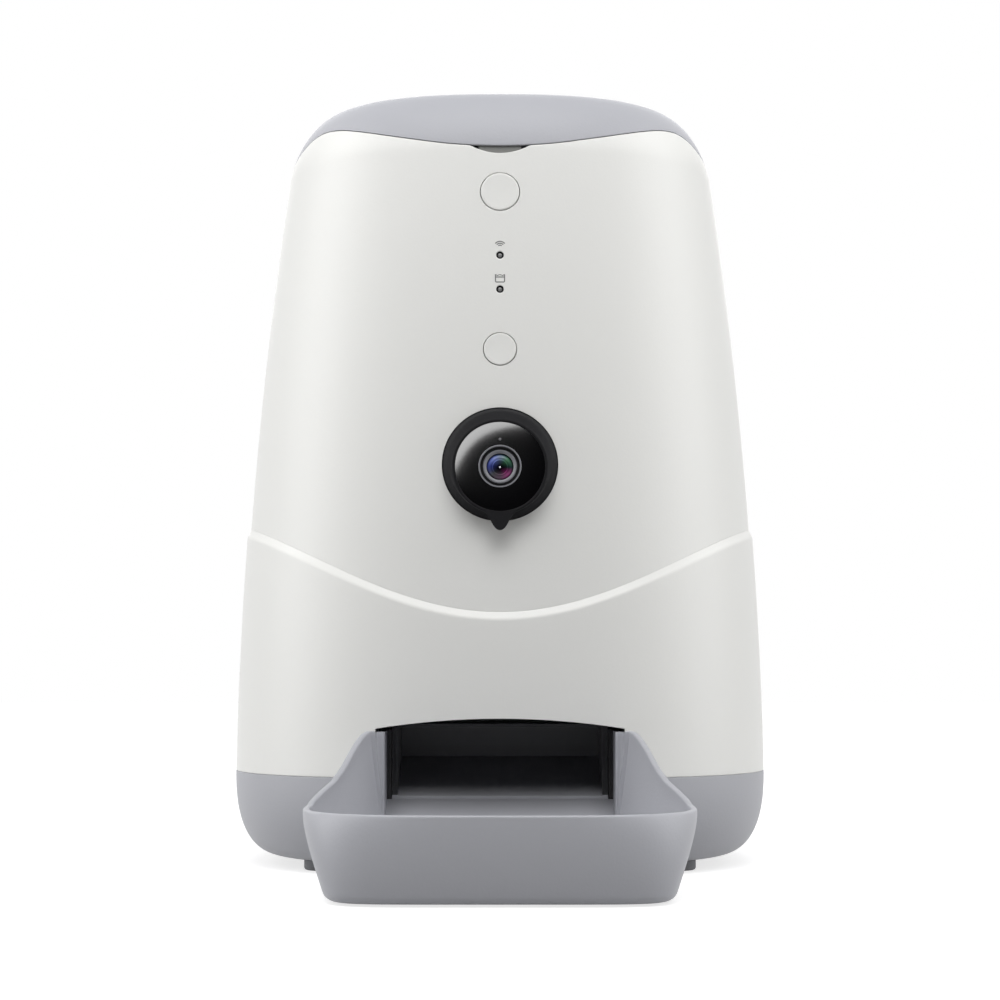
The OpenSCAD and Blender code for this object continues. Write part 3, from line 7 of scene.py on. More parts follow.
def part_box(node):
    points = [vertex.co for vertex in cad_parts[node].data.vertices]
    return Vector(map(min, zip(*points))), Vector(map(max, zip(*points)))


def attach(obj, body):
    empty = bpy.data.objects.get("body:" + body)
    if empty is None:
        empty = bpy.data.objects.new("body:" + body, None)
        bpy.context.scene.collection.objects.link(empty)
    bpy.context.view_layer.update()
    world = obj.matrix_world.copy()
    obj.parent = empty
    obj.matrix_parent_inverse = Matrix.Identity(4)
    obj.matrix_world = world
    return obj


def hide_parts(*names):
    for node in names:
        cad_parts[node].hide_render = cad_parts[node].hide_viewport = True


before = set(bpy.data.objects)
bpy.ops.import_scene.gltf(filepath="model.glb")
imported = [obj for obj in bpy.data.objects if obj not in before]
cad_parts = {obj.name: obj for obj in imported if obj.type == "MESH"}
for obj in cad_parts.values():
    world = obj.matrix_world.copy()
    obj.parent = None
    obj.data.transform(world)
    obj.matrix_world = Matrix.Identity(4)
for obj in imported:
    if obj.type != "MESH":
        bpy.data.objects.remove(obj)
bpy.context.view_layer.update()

scene = bpy.context.scene
scene.view_settings.view_transform = "Standard"
mm = 0.001  # shapes are worked out in millimetres, round the body's own axis


def nodeBox(name):
    low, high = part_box(name)
    return [v / mm for v in low], [v / mm for v in high]


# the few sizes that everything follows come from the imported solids
housingLow, housingHigh = nodeBox("lower_housing")
bowlLow = nodeBox("feeding_bowl")[0]
bodyHalf = (housingHigh[0] - housingLow[0]) / 2
bodyShift = housingHigh[1] - bodyHalf  # the body's axis lies behind the origin
baseSeam = housingLow[2]
lidTop = nodeBox("lid_cover")[1][2]
footHeight = nodeBox("rubber_feet")[1][2]
print("stage: sizes read, body", round(2 * bodyHalf, 1), "wide and", round(lidTop, 1), "high")


# camera, light and floor

cameraView = {"distance": 1000, "height": 79, "pitch": 3.863, "lens": 87.44, "sensor": 36}

camData = bpy.data.cameras.new("productCamera")
camData.lens = cameraView["lens"]
camData.sensor_width = cameraView["sensor"]
camData.clip_end = 20
camObject = bpy.data.objects.new("productCamera", camData)
camObject.location = (0, (bodyShift - cameraView["distance"]) * mm, cameraView["height"] * mm)
camObject.rotation_euler = (radians(90 + cameraView["pitch"]), 0, 0)
scene.collection.objects.link(camObject)
scene.camera = camObject

studioLamps = {
    "leftBox": {"at": (-1.25, -0.05, 0.65), "size": (0.9, 1.5), "watts": 11.1},
    "rightBox": {"at": (1.25, -0.05, 0.65), "size": (0.9, 1.5), "watts": 9.3},
    "overhead": {"at": (0.0, -0.75, 1.5), "size": (1.4, 0.9), "watts": 17.8},
    "frontHigh": {"at": (0.0, -0.7, 0.78), "size": (1.2, 0.3), "watts": 1.3},
    "behind": {"at": (0.0, 1.3, 0.8), "size": (1.2, 0.8), "watts": 4.5},
}
aimPoint = Vector((0, 0.03, 0.16))


def addLamp(name, lamp, targets=()):
    # where targets are given, the lamp lights those pieces alone
    light = bpy.data.lights.new(name, "AREA")
    light.shape = "RECTANGLE"
    light.size, light.size_y = lamp["size"]
    light.energy = lamp["watts"]
    obj = bpy.data.objects.new(name, light)
    scene.collection.objects.link(obj)
    if targets:
        chosen = bpy.data.collections.new(name + "Targets")
        for piece in targets:
            chosen.objects.link(piece)
        obj.light_linking.receiver_collection = chosen
    return obj


def aimLamp(obj, at, point):
    obj.location = at
    obj.rotation_euler = (point - Vector(at)).to_track_quat("-Z", "Y").to_euler()


for lampName, lamp in studioLamps.items():
    aimLamp(addLamp(lampName, lamp), lamp["at"], aimPoint)

worldLook = {"ambient": (0.08, 0.08, 0.08)}


def feed(tree, socket, value):
    # a socket is linked, any other value is set
    if isinstance(value, bpy.types.NodeSocket):
        tree.links.new(value, socket)
    else:
        socket.default_value = value


def addNode(tree, kind, inputs, operation=None):
    node = tree.nodes.new("ShaderNode" + kind)
    if operation:
        node.operation = operation
    for label, value in inputs.items():
        feed(tree, node.inputs[label], value)
    return node


def mathNode(tree, operation, a, b):
    return addNode(tree, "Math", {0: a, 1: b}, operation).outputs[0]


def vectorNode(tree, operation, inputs):
    return addNode(tree, "VectorMath", inputs, operation).outputs


def mixNode(tree, factor, a, b):
    node = tree.nodes.new("ShaderNodeMix")
    node.data_type = "RGBA"
    for label, value in (("Factor", factor), ("A", a), ("B", b)):
        feed(tree, node.inputs[label], value)
    return node.outputs["Result"]


def objectPlace(tree):
    return addNode(tree, "TexCoord", {}).outputs["Object"]


def seenByEye(tree):
    # 1 for camera, glossy and transmission rays
    path = addNode(tree, "LightPath", {}).outputs
    first = mathNode(tree, "MAXIMUM", path["Is Camera Ray"], path["Is Glossy Ray"])
    return mathNode(tree, "MAXIMUM", first, path["Is Transmission Ray"])


world = bpy.data.worlds.new("studio")
scene.world = world
world.use_nodes = True
backing = world.node_tree.nodes["Background"]
backing.inputs["Strength"].default_value = 1
feed(world.node_tree, backing.inputs["Color"],
     mixNode(world.node_tree, seenByEye(world.node_tree), (*worldLook["ambient"], 1), (1, 1, 1, 1)))


def flatPaint(name, tone, roughness):
    paint = bpy.data.materials.new(name)
    paint.use_nodes = True
    shader = paint.node_tree.nodes["Principled BSDF"]
    shader.inputs["Base Color"].default_value = (tone, tone, tone, 1)
    shader.inputs["Roughness"].default_value = roughness
    shader.inputs["Specular IOR Level"].default_value = 0.0
    return paint, shader


def stageSheet(name, corners):
    # a flat sheet that belongs to the studio and not to the object
    mesh = bpy.data.meshes.new(name)
    mesh.from_pydata(corners, [], [(0, 1, 2, 3)])
    sheet = bpy.data.objects.new(name, mesh)
    scene.collection.objects.link(sheet)
    return sheet


floorLook = {"half": 4.0, "colour": 0.5, "lift": 0.72, "fadeFrom": 0.3, "fadeTo": 0.9}

reach = floorLook["half"]
floorCorners = [(x * reach, y * reach, 0) for x, y in ((-1, -1), (1, -1), (1, 1), (-1, 1))]
floorObject = stageSheet("studioFloor", floorCorners)
floorPaint, floorShader = flatPaint("paleFloor", floorLook["colour"], 0.9)
floorTree = floorPaint.node_tree
fromMiddle = vectorNode(floorTree, "LENGTH", {0: objectPlace(floorTree)})["Value"]
floorFade = addNode(floorTree, "MapRange", {  # the floor turns plain white away from the object
    "Value": fromMiddle, "From Min": floorLook["fadeFrom"], "From Max": floorLook["fadeTo"],
    "To Min": floorLook["lift"], "To Max": 1.0})
floorFade.interpolation_type = "SMOOTHSTEP"
floorShader.inputs["Emission Color"].default_value = (1, 1, 1, 1)
feed(floorTree, floorShader.inputs["Emission Strength"],
     mathNode(floorTree, "MULTIPLY", seenByEye(floorTree), floorFade.outputs["Result"]))
floorObject.data.materials.append(floorPaint)

# unlit end of the studio, behind the camera
darkSide = {"behind": -1.9, "half": 2.6, "top": 2.3, "tone": 0.02}

wallCorners = [(x * darkSide["half"], darkSide["behind"], z * darkSide["top"])
               for x, z in ((-1, 0), (1, 0), (1, 1), (-1, 1))]
darkWall = stageSheet("darkWall", wallCorners)
darkWall.visible_camera = False
darkWall.data.materials.append(flatPaint("darkWallPaint", darkSide["tone"], 0.95)[0])
print("stage: camera, lamps and floor")


# shared surface effects

def newGroup(name, inputs, outputs):
    group = bpy.data.node_groups.new(name, "ShaderNodeTree")
    for label, kind, value in inputs:
        socket = group.interface.new_socket(label, in_out="INPUT", socket_type="NodeSocket" + kind)
        if value is not None:
            socket.default_value = value
    for label, kind in outputs:
        group.interface.new_socket(label, in_out="OUTPUT", socket_type="NodeSocket" + kind)
    return group, group.nodes.new("NodeGroupInput"), group.nodes.new("NodeGroupOutput")


def noiseNode(tree, vector, size, detail, rough=0.5):
    inputs = {"Vector": vector, "Detail": detail, "Roughness": rough, "Scale": size}
    return addNode(tree, "TexNoise", inputs).outputs["Fac"]


def buildMouldGrain():
    # spark-eroded mould texture: fine pebbles over a slight long-wave ripple
    group, source, sink = newGroup(
        "mouldGrain",
        [("Vector", "Vector", None), ("Scale", "Float", 900.0), ("Ripple", "Float", 0.2)],
        [("Height", "Float")])
    where, size = source.outputs["Vector"], source.outputs["Scale"]
    cells = addNode(group, "TexVoronoi", {"Vector": where, "Scale": size})
    cells.feature = "SMOOTH_F1"
    fine = mathNode(group, "ADD", noiseNode(group, where, size, 2.0, 0.55),
                    mathNode(group, "MULTIPLY", cells.outputs["Distance"], 0.6))
    waves = mathNode(group, "MULTIPLY", noiseNode(group, where, 55.0, 1.0), source.outputs["Ripple"])
    feed(group, sink.inputs["Height"], mathNode(group, "ADD", fine, waves))
    return group


def buildToneDrift():
    # slow change of tone and gloss that a moulded surface shows after handling
    group, source, sink = newGroup(
        "toneDrift",
        [("Vector", "Vector", None), ("Colour", "Color", (0.8, 0.8, 0.8, 1)),
         ("Depth", "Float", 0.03), ("Roughness", "Float", 0.4), ("Gloss Drift", "Float", 0.08)],
        [("Colour", "Color"), ("Roughness", "Float")])
    where = source.outputs["Vector"]
    slow = mathNode(group, "SUBTRACT", noiseNode(group, where, 9.0, 3.0, 0.6), 0.5)
    specks = mathNode(group, "SUBTRACT", noiseNode(group, where, 420.0, 2.0, 0.6), 0.5)
    swing = mathNode(group, "ADD", slow, mathNode(group, "MULTIPLY", specks, 0.5))
    gain = mathNode(group, "ADD", 1.0, mathNode(group, "MULTIPLY", swing, source.outputs["Depth"]))
    scaled = vectorNode(group, "SCALE", {0: source.outputs["Colour"], "Scale": gain})
    feed(group, sink.inputs["Colour"], scaled["Vector"])
    drift = mathNode(group, "MULTIPLY", slow, source.outputs["Gloss Drift"])
    feed(group, sink.inputs["Roughness"], mathNode(group, "ADD", source.outputs["Roughness"], drift))
    return group


mouldGrain = buildMouldGrain()
toneDrift = buildToneDrift()


def tint(red, green, blue):
    # screen colour 0 to 255, as linear light
    def linear(v):
        v /= 255
        return v / 12.92 if v <= 0.04045 else ((v + 0.055) / 1.055) ** 2.4
    return (linear(red), linear(green), linear(blue), 1)


def placeGroup(tree, group, values):
    node = tree.nodes.new("ShaderNodeGroup")
    node.node_tree = group
    feed(tree, node.inputs["Vector"], objectPlace(tree))
    for label, value in values.items():
        node.inputs[label].default_value = value
    return node.outputs


grainHeight = 0.0004  # metres, at full strength


def moulded(name, colour, roughness, drift=0.03, glossDrift=0.08, grain=900.0, depth=0.05, ripple=0.2,
            specular=0.5, coat=0.0, metallic=0.0):
    material = bpy.data.materials.new(name)
    material.use_nodes = True
    tree = material.node_tree
    tone = placeGroup(tree, toneDrift, {"Colour": colour, "Depth": drift, "Roughness": roughness,
                                        "Gloss Drift": glossDrift})
    pebble = placeGroup(tree, mouldGrain, {"Scale": grain, "Ripple": ripple})
    bump = addNode(tree, "Bump", {"Strength": depth, "Distance": grainHeight, "Height": pebble["Height"]})
    for label, value in (("Base Color", tone["Colour"]), ("Roughness", tone["Roughness"]),
                         ("Normal", bump.outputs["Normal"]), ("Specular IOR Level", specular),
                         ("Metallic", metallic), ("Coat Weight", coat), ("Coat Roughness", 0.1)):
        feed(tree, tree.nodes["Principled BSDF"].inputs[label], value)
    return material


def paintChuteLightAndShade(material, colour, frontShadeColour, edgeY, footZ):
    # painted light and shade: upward faces and the foot take a second, lighter colour that stands in for the
    # light falling on them, the edges at the front a third, dark colour as painted shade
    tree = material.node_tree
    base = tree.nodes["Principled BSDF"].inputs["Base Color"]
    first = base.links[0].from_socket
    normal = addNode(tree, "NewGeometry", {}).outputs["True Normal"]
    place, facing = (addNode(tree, "SeparateXYZ", {0: vector}) for vector in (objectPlace(tree), normal))
    atFront = mathNode(tree, "LESS_THAN", place.outputs["Y"], edgeY)
    atFoot = mathNode(tree, "LESS_THAN", place.outputs["Z"], footZ)
    litUpward = mathNode(tree, "GREATER_THAN", facing.outputs["Z"], 0.6)
    walls = mixNode(tree, atFront, first, frontShadeColour)
    feed(tree, base, mixNode(tree, mathNode(tree, "MAXIMUM", litUpward, atFoot), walls, colour))


whiteShell = moulded("satinWhite", tint(233, 233, 230), 0.42, drift=0.02, grain=1100, depth=0.05)
greyShell = moulded("coolGrey", tint(172, 173, 179), 0.5, drift=0.03, grain=1000, depth=0.09)
# the lid's grey darkened as painted shade, for the tongue sunk in the notch
tongueShadedGrey = moulded("tongueShadedGrey", tint(120, 121, 118), 0.5, drift=0.03, grain=1000, depth=0.09)
charcoalRing = moulded("matteCharcoal", tint(30, 30, 32), 0.6, drift=0.08, grain=1500, depth=0.12,
                       specular=0.07)
darkDuct = moulded("ductCharcoal", tint(44, 44, 46), 0.6, drift=0.08, grain=1200, depth=0.1)
# chute plastic whose upward faces and foot get a painted lighter grey and whose front edges get a painted
# dark shade
chuteLitAndShaded = moulded("chuteLitAndShaded", tint(108, 108, 110), 0.6, drift=0.08, grain=1200, depth=0.1)
paleInner = moulded("paleInner", tint(203, 204, 209), 0.45, drift=0.03, grain=900, depth=0.06)
softRubber = moulded("softRubber", tint(92, 92, 95), 0.75, drift=0.12, grain=1600, depth=0.2)
chuteLow = nodeBox("discharge_chute")[0]
# painted light: lighter grey on upward faces and the foot; painted shade: dark grey on the front edges
paintChuteLightAndShade(chuteLitAndShaded, tint(164, 165, 170), tint(44, 44, 46), (chuteLow[1] + 0.4) * mm,
          (chuteLow[2] + 2.5) * mm)
gearCream = moulded("gearCream", tint(228, 219, 198), 0.38, drift=0.04, grain=800, depth=0.03)
brightSteel = moulded("brightSteel", tint(186, 188, 192), 0.3, drift=0.06, grain=700, depth=0.05,
                      metallic=1.0)
boardGreen = moulded("boardGreen", tint(44, 100, 68), 0.45, drift=0.2, grain=400, depth=0.08, coat=0.3)
glossBlack = moulded("glossBlack", tint(4, 4, 5), 0.12, drift=0.05, glossDrift=0.02, grain=200, depth=0.004,
                     specular=0.35)
printInk = moulded("printInk", tint(116, 116, 116), 0.6, drift=0.1, grain=2000, depth=0.05)
lightPipe = moulded("lightPipe", tint(128, 128, 128), 0.3, drift=0.1, grain=900, depth=0.03, coat=0.5)
print("stage: materials")


# mesh helpers

def toRow(p):
    return (p[0] * mm, (p[1] + bodyShift) * mm, p[2] * mm)


def makeObject(name, points, faces):
    mesh = bpy.data.meshes.new(name)
    mesh.from_pydata([toRow(p) for p in points], [], faces)
    work = bmesh.new()
    work.from_mesh(mesh)
    bmesh.ops.remove_doubles(work, verts=work.verts, dist=1e-7)
    bmesh.ops.recalc_face_normals(work, faces=work.faces)
    work.to_mesh(mesh)
    work.free()
    obj = bpy.data.objects.new(name, mesh)
    scene.collection.objects.link(obj)
    return obj


def finishPiece(obj, material, body, slotName, nodes=(), angle=32):
    mesh = obj.data
    mesh.polygons.foreach_set("use_smooth", [True] * len(mesh.polygons))
    mesh.set_sharp_from_angle(angle=radians(angle))
    mesh.materials.clear()
    mesh.materials.append(material)
    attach(obj, body)
    if nodes:
        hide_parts(*nodes)
    return obj


def addPiece(name, parts, *finish, **more):
    return finishPiece(makeObject(name, *parts), *finish, **more)


def sizes(form, names):
    return [form[name] for name in names.split()]


def spread(start, end, steps):
    return [start + (end - start) * i / steps for i in range(steps + 1)]


def limited(t):
    return min(max(t, 0), 1)


def ease(t):
    u = limited(t)
    return u * u * (3 - 2 * u)


def ringFaces(count, size, closed):
    # quads between rings of equal size; closed joins the last ring to the first
    faces = []
    for k in range(count if closed else count - 1):
        for i in range(size):
            a, b = k * size + i, k * size + (i + 1) % size
            c, d = ((k + 1) % count) * size + (i + 1) % size, ((k + 1) % count) * size + i
            faces.append((a, b, c, d))
    return faces


def ringStack(rings):
    # closed surface through a stack of rings, with a fan over each end
    size = len(rings[0])
    points = [p for ring in rings for p in ring]
    faces = ringFaces(len(rings), size, False)
    for start in (0, (len(rings) - 1) * size):
        ring = points[start:start + size]
        middle = tuple(sum(p[i] for p in ring) / size for i in range(3))
        points.append(middle)
        faces += [(start + i, start + (i + 1) % size, len(points) - 1) for i in range(size)]
    return points, faces


def loopSurface(loops):
    # closed surface through loops that come round to the first one again
    return [p for loop in loops for p in loop], ringFaces(len(loops), len(loops[0]), True)


axisRadius = 0.001  # stands for a place on the axis


def turnedRings(profile, steps):
    # (radius, height) places turned about local Z
    turns = [2 * pi * i / steps for i in range(steps)]
    return [[(r * cos(t), r * sin(t), h) for t in turns]
            for r, h in [(max(radius, axisRadius), height) for radius, height in profile]]


def lathe(profile, steps):
    return ringStack(turnedRings(profile, steps))


def tubeParts(profile, steps=96):
    return loopSurface(turnedRings(profile, steps))


def boxParts(low, high):
    points = [(x, y, z) for z in (low[2], high[2])
              for x, y in ((low[0], low[1]), (high[0], low[1]), (high[0], high[1]), (low[0], high[1]))]
    return points, [(3, 2, 1, 0), (4, 5, 6, 7), (0, 1, 5, 4), (1, 2, 6, 5), (2, 3, 7, 6), (3, 0, 4, 7)]


def prism(outline, near, far):
    # an outline of (depth, height) places, drawn out sideways
    size = len(outline)
    points = [(x, y, z) for x in (near, far) for y, z in outline]
    return points, ringFaces(2, size, False) + [tuple(range(size)), tuple(range(2 * size - 1, size - 1, -1))]


def placed(matrix, parts):
    points, faces = parts
    return [tuple(matrix @ Vector(p)) for p in points], faces


def shift(x, y, z):
    return Matrix.Translation((x, y, z))


def joinParts(parts):
    points, faces = [], []
    for partPoints, partFaces in parts:
        faces += [tuple(i + len(points) for i in face) for face in partFaces]
        points += partPoints
    return points, faces


def arc(cx, cy, radius, start, end, steps):
    return [(cx + radius * cos(radians(a)), cy + radius * sin(radians(a))) for a in spread(start, end, steps)]


def bakeModifiers(obj):
    graph = bpy.context.evaluated_depsgraph_get()
    mesh = bpy.data.meshes.new_from_object(obj.evaluated_get(graph))
    obj.modifiers.clear()
    obj.data = mesh


def cutAway(obj, parts):
    cutter = makeObject(obj.name + "Cutter", *joinParts(parts))
    step = obj.modifiers.new("cut", "BOOLEAN")
    step.operation = "DIFFERENCE"
    step.solver = "EXACT"
    step.object = cutter
    bakeModifiers(obj)
    bpy.data.objects.remove(cutter)


def softenEdges(obj, width, segments=2, angle=40):
    step = obj.modifiers.new("soften", "BEVEL")
    step.width = width * mm
    step.segments = segments
    step.limit_method = "ANGLE"
    step.angle_limit = radians(angle)
    step.use_clamp_overlap = True
    bakeModifiers(obj)


def evenNormals(obj):
    step = obj.modifiers.new("evenNormals", "WEIGHTED_NORMAL")
    step.keep_sharp = True


# outer shells: base pan, lower housing, upper housing and lid share one plan outline

shellForm = {
    "planPower": 2.5, "sideLean": 0.018, "bowRadius": 1940, "wall": 2.6,
    "ledgeFront": 98.2, "ledgeRise": 42, "ledgeSpan": 140, "ledgeStep": 1.25, "bevelHeight": 2.9,
    "bevelRound": 0.7, "lowRound": 0.4, "partingGap": 0.03, "partingRound": 0.1,
    "domeStart": 274.5, "edgeWidth": 16.6, "domeRise": 1.8, "domeSpan": 2.1, "crownRise": 1.2,
    "lidSeam": 280, "lidGap": 0.8, "seamGap": 0.3, "lidWall": 2.2,
    "notchHalf": 11.4, "notchDepth": 2.8, "rimRound": 0.25,
    "columns": 288, "rows": 90,
}
wall = shellForm["wall"]
crownZ = lidTop - shellForm["crownRise"]  # top of the lid's rounded edge


def columnAngles():
    # even steps round the body, closer together at the finger notch
    step = 2 * pi / shellForm["columns"]
    near = radians(10)
    even = [i * step for i in range(shellForm["columns"])]
    kept = [a for a in even if near < a < 2 * pi - near]
    return spread(-near, near, 48) + kept


angles = columnAngles()


def planReach(phi):
    power = shellForm["planPower"]
    return (abs(sin(phi)) ** power + abs(cos(phi)) ** power) ** (-1 / power)


def planPoint(phi, half, z):
    reachHere = half * planReach(phi)
    return (reachHere * sin(phi), -reachHere * cos(phi), z)


def sideHalf(z):
    up = z - baseSeam
    return bodyHalf - shellForm["sideLean"] * up - up * up / (2 * shellForm["bowRadius"])


def domeShare(z, inset=0.0):
    return min(max(z - shellForm["domeStart"], 0) / (crownZ - inset - shellForm["domeStart"]), 1)


def upperHalf(z, inset=0.0):
    over = 1 - (1 - domeShare(z, inset) ** shellForm["domeRise"]) ** (1 / shellForm["domeSpan"])
    return sideHalf(z) - shellForm["ledgeStep"] - inset - shellForm["edgeWidth"] * over


def ledgeWave(x):
    wave = 1 - cos(pi * x / shellForm["ledgeSpan"])
    return shellForm["ledgeFront"] + shellForm["ledgeRise"] * wave / 2


ledgeHalf = sideHalf(shellForm["ledgeFront"] + shellForm["ledgeRise"])


def ledgeZ(phi):
    return ledgeWave(abs(planPoint(phi, ledgeHalf, 0)[0]) if cos(phi) > 0 else ledgeHalf)


# degrees from the front, height
seamLine = [(0, 275.9), (12.6, 276.9), (25.3, 280.3), (40.5, 285.6), (46.3, 287.2), (52.9, 287.8),
            (58.7, 286.4), (63.5, 284.0), (70, 281.6), (76, 279.8), (83, 278.8), (110, 279.2), (180, 280)]


def seamSlope(i):
    if i in (0, len(seamLine) - 1):
        return 0
    return (seamLine[i + 1][1] - seamLine[i - 1][1]) / (seamLine[i + 1][0] - seamLine[i - 1][0])


def lidSeam(phi):
    # smooth curve through the seam's places, alike on both sides
    turn = abs((degrees(phi) + 180) % 360 - 180)
    k = next((i for i in range(len(seamLine) - 1) if turn <= seamLine[i + 1][0]), len(seamLine) - 2)
    span = seamLine[k + 1][0] - seamLine[k][0]
    t = (turn - seamLine[k][0]) / span
    near = (1 - t) ** 2 * ((1 + 2 * t) * seamLine[k][1] + t * span * seamSlope(k))
    return near + t * t * ((3 - 2 * t) * seamLine[k + 1][1] - (1 - t) * span * seamSlope(k + 1))


def notchDrop(phi):
    # the finger notch dips below the seam at the middle of the front
    if cos(phi) < 0.5:
        return 0
    x = abs(planPoint(phi, upperHalf(shellForm["lidSeam"]), 0)[0]) / shellForm["notchHalf"]
    return shellForm["notchDepth"] * max(1 - x * x, 0)


def frontMatrix(z):
    # local frame on the middle of the front: Z out of the housing, Y up along it
    lean = shellForm["sideLean"] + (z - baseSeam) / shellForm["bowRadius"]
    return shift(0, -upperHalf(z), z) @ Matrix.Rotation(radians(90) - atan(lean), 4, "X")


def shellLoops(profileAt):
    return loopSurface([profileAt(phi) for phi in angles])


def roundRim(phi, halfAt, z, radius, up):
    # quarter round from the wall's face over to its edge, upwards or downwards
    steps = []
    for turn in spread(0, 90, 4):
        level = z - up * radius * (1 - sin(radians(turn)))
        steps.append(planPoint(phi, halfAt(level) - radius * (1 - cos(radians(turn))), level))
    return steps


def upperProfile(phi):
    low = ledgeZ(phi) + shellForm["partingGap"]
    high = lidSeam(phi) - notchDrop(phi)
    radius, rows = sizes(shellForm, "rimRound rows")
    face = []
    for i in range(1, rows):  # rows are closer together towards the seam
        z = low + radius + (1 - (1 - i / rows) ** 1.5) * (high - low - 2 * radius)
        face.append(planPoint(phi, upperHalf(z), z))
    inside = [planPoint(phi, upperHalf(z) - wall, z) for z in spread(high, low, 12)]
    return (roundRim(phi, upperHalf, low, shellForm["partingRound"], -1)[::-1] + face
            + roundRim(phi, upperHalf, high, radius, 1) + inside)


controlSizes = {"feedZ": 257.8, "feedRadius": 7.3, "callZ": 196.8, "callRadius": 6.1, "gap": 0.3,
                "networkZ": 233.0, "foodZ": 219.8, "lightRadius": 1.4, "lightGap": 0.05,
                "pipe": 0.82, "lip": 0.22}
ballForm = {"z": 153.2, "edgeRadius": 21.05, "depth": 7.0, "gap": 0.35, "lipRadius": 17.5,
            "windowRadius": 16.6, "nubReach": 2.8, "drop": 1.84, "dropFrom": 10.8}
ballRadius = hypot(ballForm["edgeRadius"], ballForm["depth"])


def flaredHole(z, radius):
    lip = controlSizes["lip"]
    flare = [(radius + lip * (1 - cos(radians(a))), -lip + lip * sin(radians(a))) for a in (22, 45, 67, 90)]
    profile = [(0, -9), (radius, -9), (radius, -lip)] + flare + [(radius + lip, 3), (0, 3)]
    return placed(frontMatrix(z), lathe(profile, 96))


def ballMatrix():
    return frontMatrix(ballForm["z"]) @ shift(0, 0, -ballForm["depth"])


def ballHole(radius, steps=128, rows=64):
    profile = [(radius * sin(pi * i / rows), -radius * cos(pi * i / rows)) for i in range(rows + 1)]
    return placed(ballMatrix(), lathe(profile, steps))


def buildUpperHousing():
    obj = makeObject("upperShell", *shellLoops(upperProfile))
    cuts = []
    for names in ("feedZ feedRadius gap", "callZ callRadius gap", "networkZ lightRadius lightGap",
                  "foodZ lightRadius lightGap"):
        z, radius, gap = sizes(controlSizes, names)
        cuts.append(flaredHole(z, radius + gap))
    cutAway(obj, cuts + [ballHole(ballRadius + ballForm["gap"])])
    finishPiece(obj, whiteShell, "housing", "white_shell", ["upper_housing"], angle=40)
    evenNormals(obj)


def lowerProfile(phi):
    bevel, step, lowRound, corner = sizes(shellForm, "bevelHeight ledgeStep lowRound bevelRound")
    low, top = baseSeam, ledgeZ(phi)
    foot = top - bevel - corner
    face = [planPoint(phi, sideHalf(z), z) for z in spread(low + lowRound, foot, 55)[1:]]

    def bevelPoint(share):
        z = top - bevel + bevel * share
        return planPoint(phi, sideHalf(z) - step * share, z)

    ends = (planPoint(phi, sideHalf(foot), foot), bevelPoint(0), bevelPoint(corner / bevel))
    blend = [tuple((1 - t) ** 2 * a + 2 * t * (1 - t) * b + t * t * c for a, b, c in zip(*ends))
             for t in spread(0, 1, 6)[1:6]]
    slope = [bevelPoint(s) for s in (0.2, 0.4, 0.6, 0.8, 0.95, 1.0)]
    inside = []
    for share in spread(1, 0, 12):
        z = low + share * (top - low)
        inside.append(planPoint(phi, sideHalf(z) - wall - share * step, z))
    return roundRim(phi, sideHalf, low, lowRound, -1)[::-1] + face + blend + slope + inside


throatForm = {"half": 46, "sideZ": 55.2, "topZ": 59, "back": 82}


def throatCutter(lowZ):
    half, topZ = sizes(throatForm, "half topZ")
    rise = topZ - throatForm["sideZ"]
    radius = (half ** 2 + rise ** 2) / (2 * rise)
    span = degrees(asin(half / radius))
    outline = [(half, lowZ)] + arc(0, topZ - radius, radius, 90 - span, 90 + span, 64) + [(-half, lowZ)]
    points = [(x, y, z) for y in (-throatForm["back"], -2 * bodyHalf) for x, z in outline]
    size = len(outline)
    return points, ringFaces(2, size, False) + [tuple(range(size - 1, -1, -1)), tuple(range(size, 2 * size))]


inletForm = {"z": 54, "radius": 4.0, "flare": 1.2}


def buildLowerHousing():
    obj = makeObject("lowerShell", *shellLoops(lowerProfile))
    turnBack = shift(0, 0, inletForm["z"]) @ Matrix.Rotation(radians(-90), 4, "X")
    radius, wide = inletForm["radius"], inletForm["radius"] + inletForm["flare"]
    bore = lathe([(0, 60), (radius, 60), (radius, bodyHalf - 0.8), (wide, bodyHalf + 0.4), (wide, 120),
                  (0, 120)], 64)
    cutAway(obj, [throatCutter(baseSeam - 5), placed(turnBack, bore)])
    finishPiece(obj, whiteShell, "housing", "white_shell", ["lower_housing"], angle=40)
    evenNormals(obj)


panForm = {"corner": 18, "cornerPower": 2.4, "edge": 0.3, "sill": 7.4, "legHole": 3.3, "legFlare": 4.1,
           "rows": 44}
legPlaces = [(x, y) for x in (-50, 50) for y in (-28, 12)]
speakerForm = {"x": -40, "y": 62, "hole": 1.4, "rings": (0, 6, 12)}


def panHalf(z):
    share = min((baseSeam - z) / (baseSeam - footHeight), 1)
    power = panForm["cornerPower"]
    return bodyHalf - panForm["corner"] * (1 - (1 - share ** power) ** (1 / power))


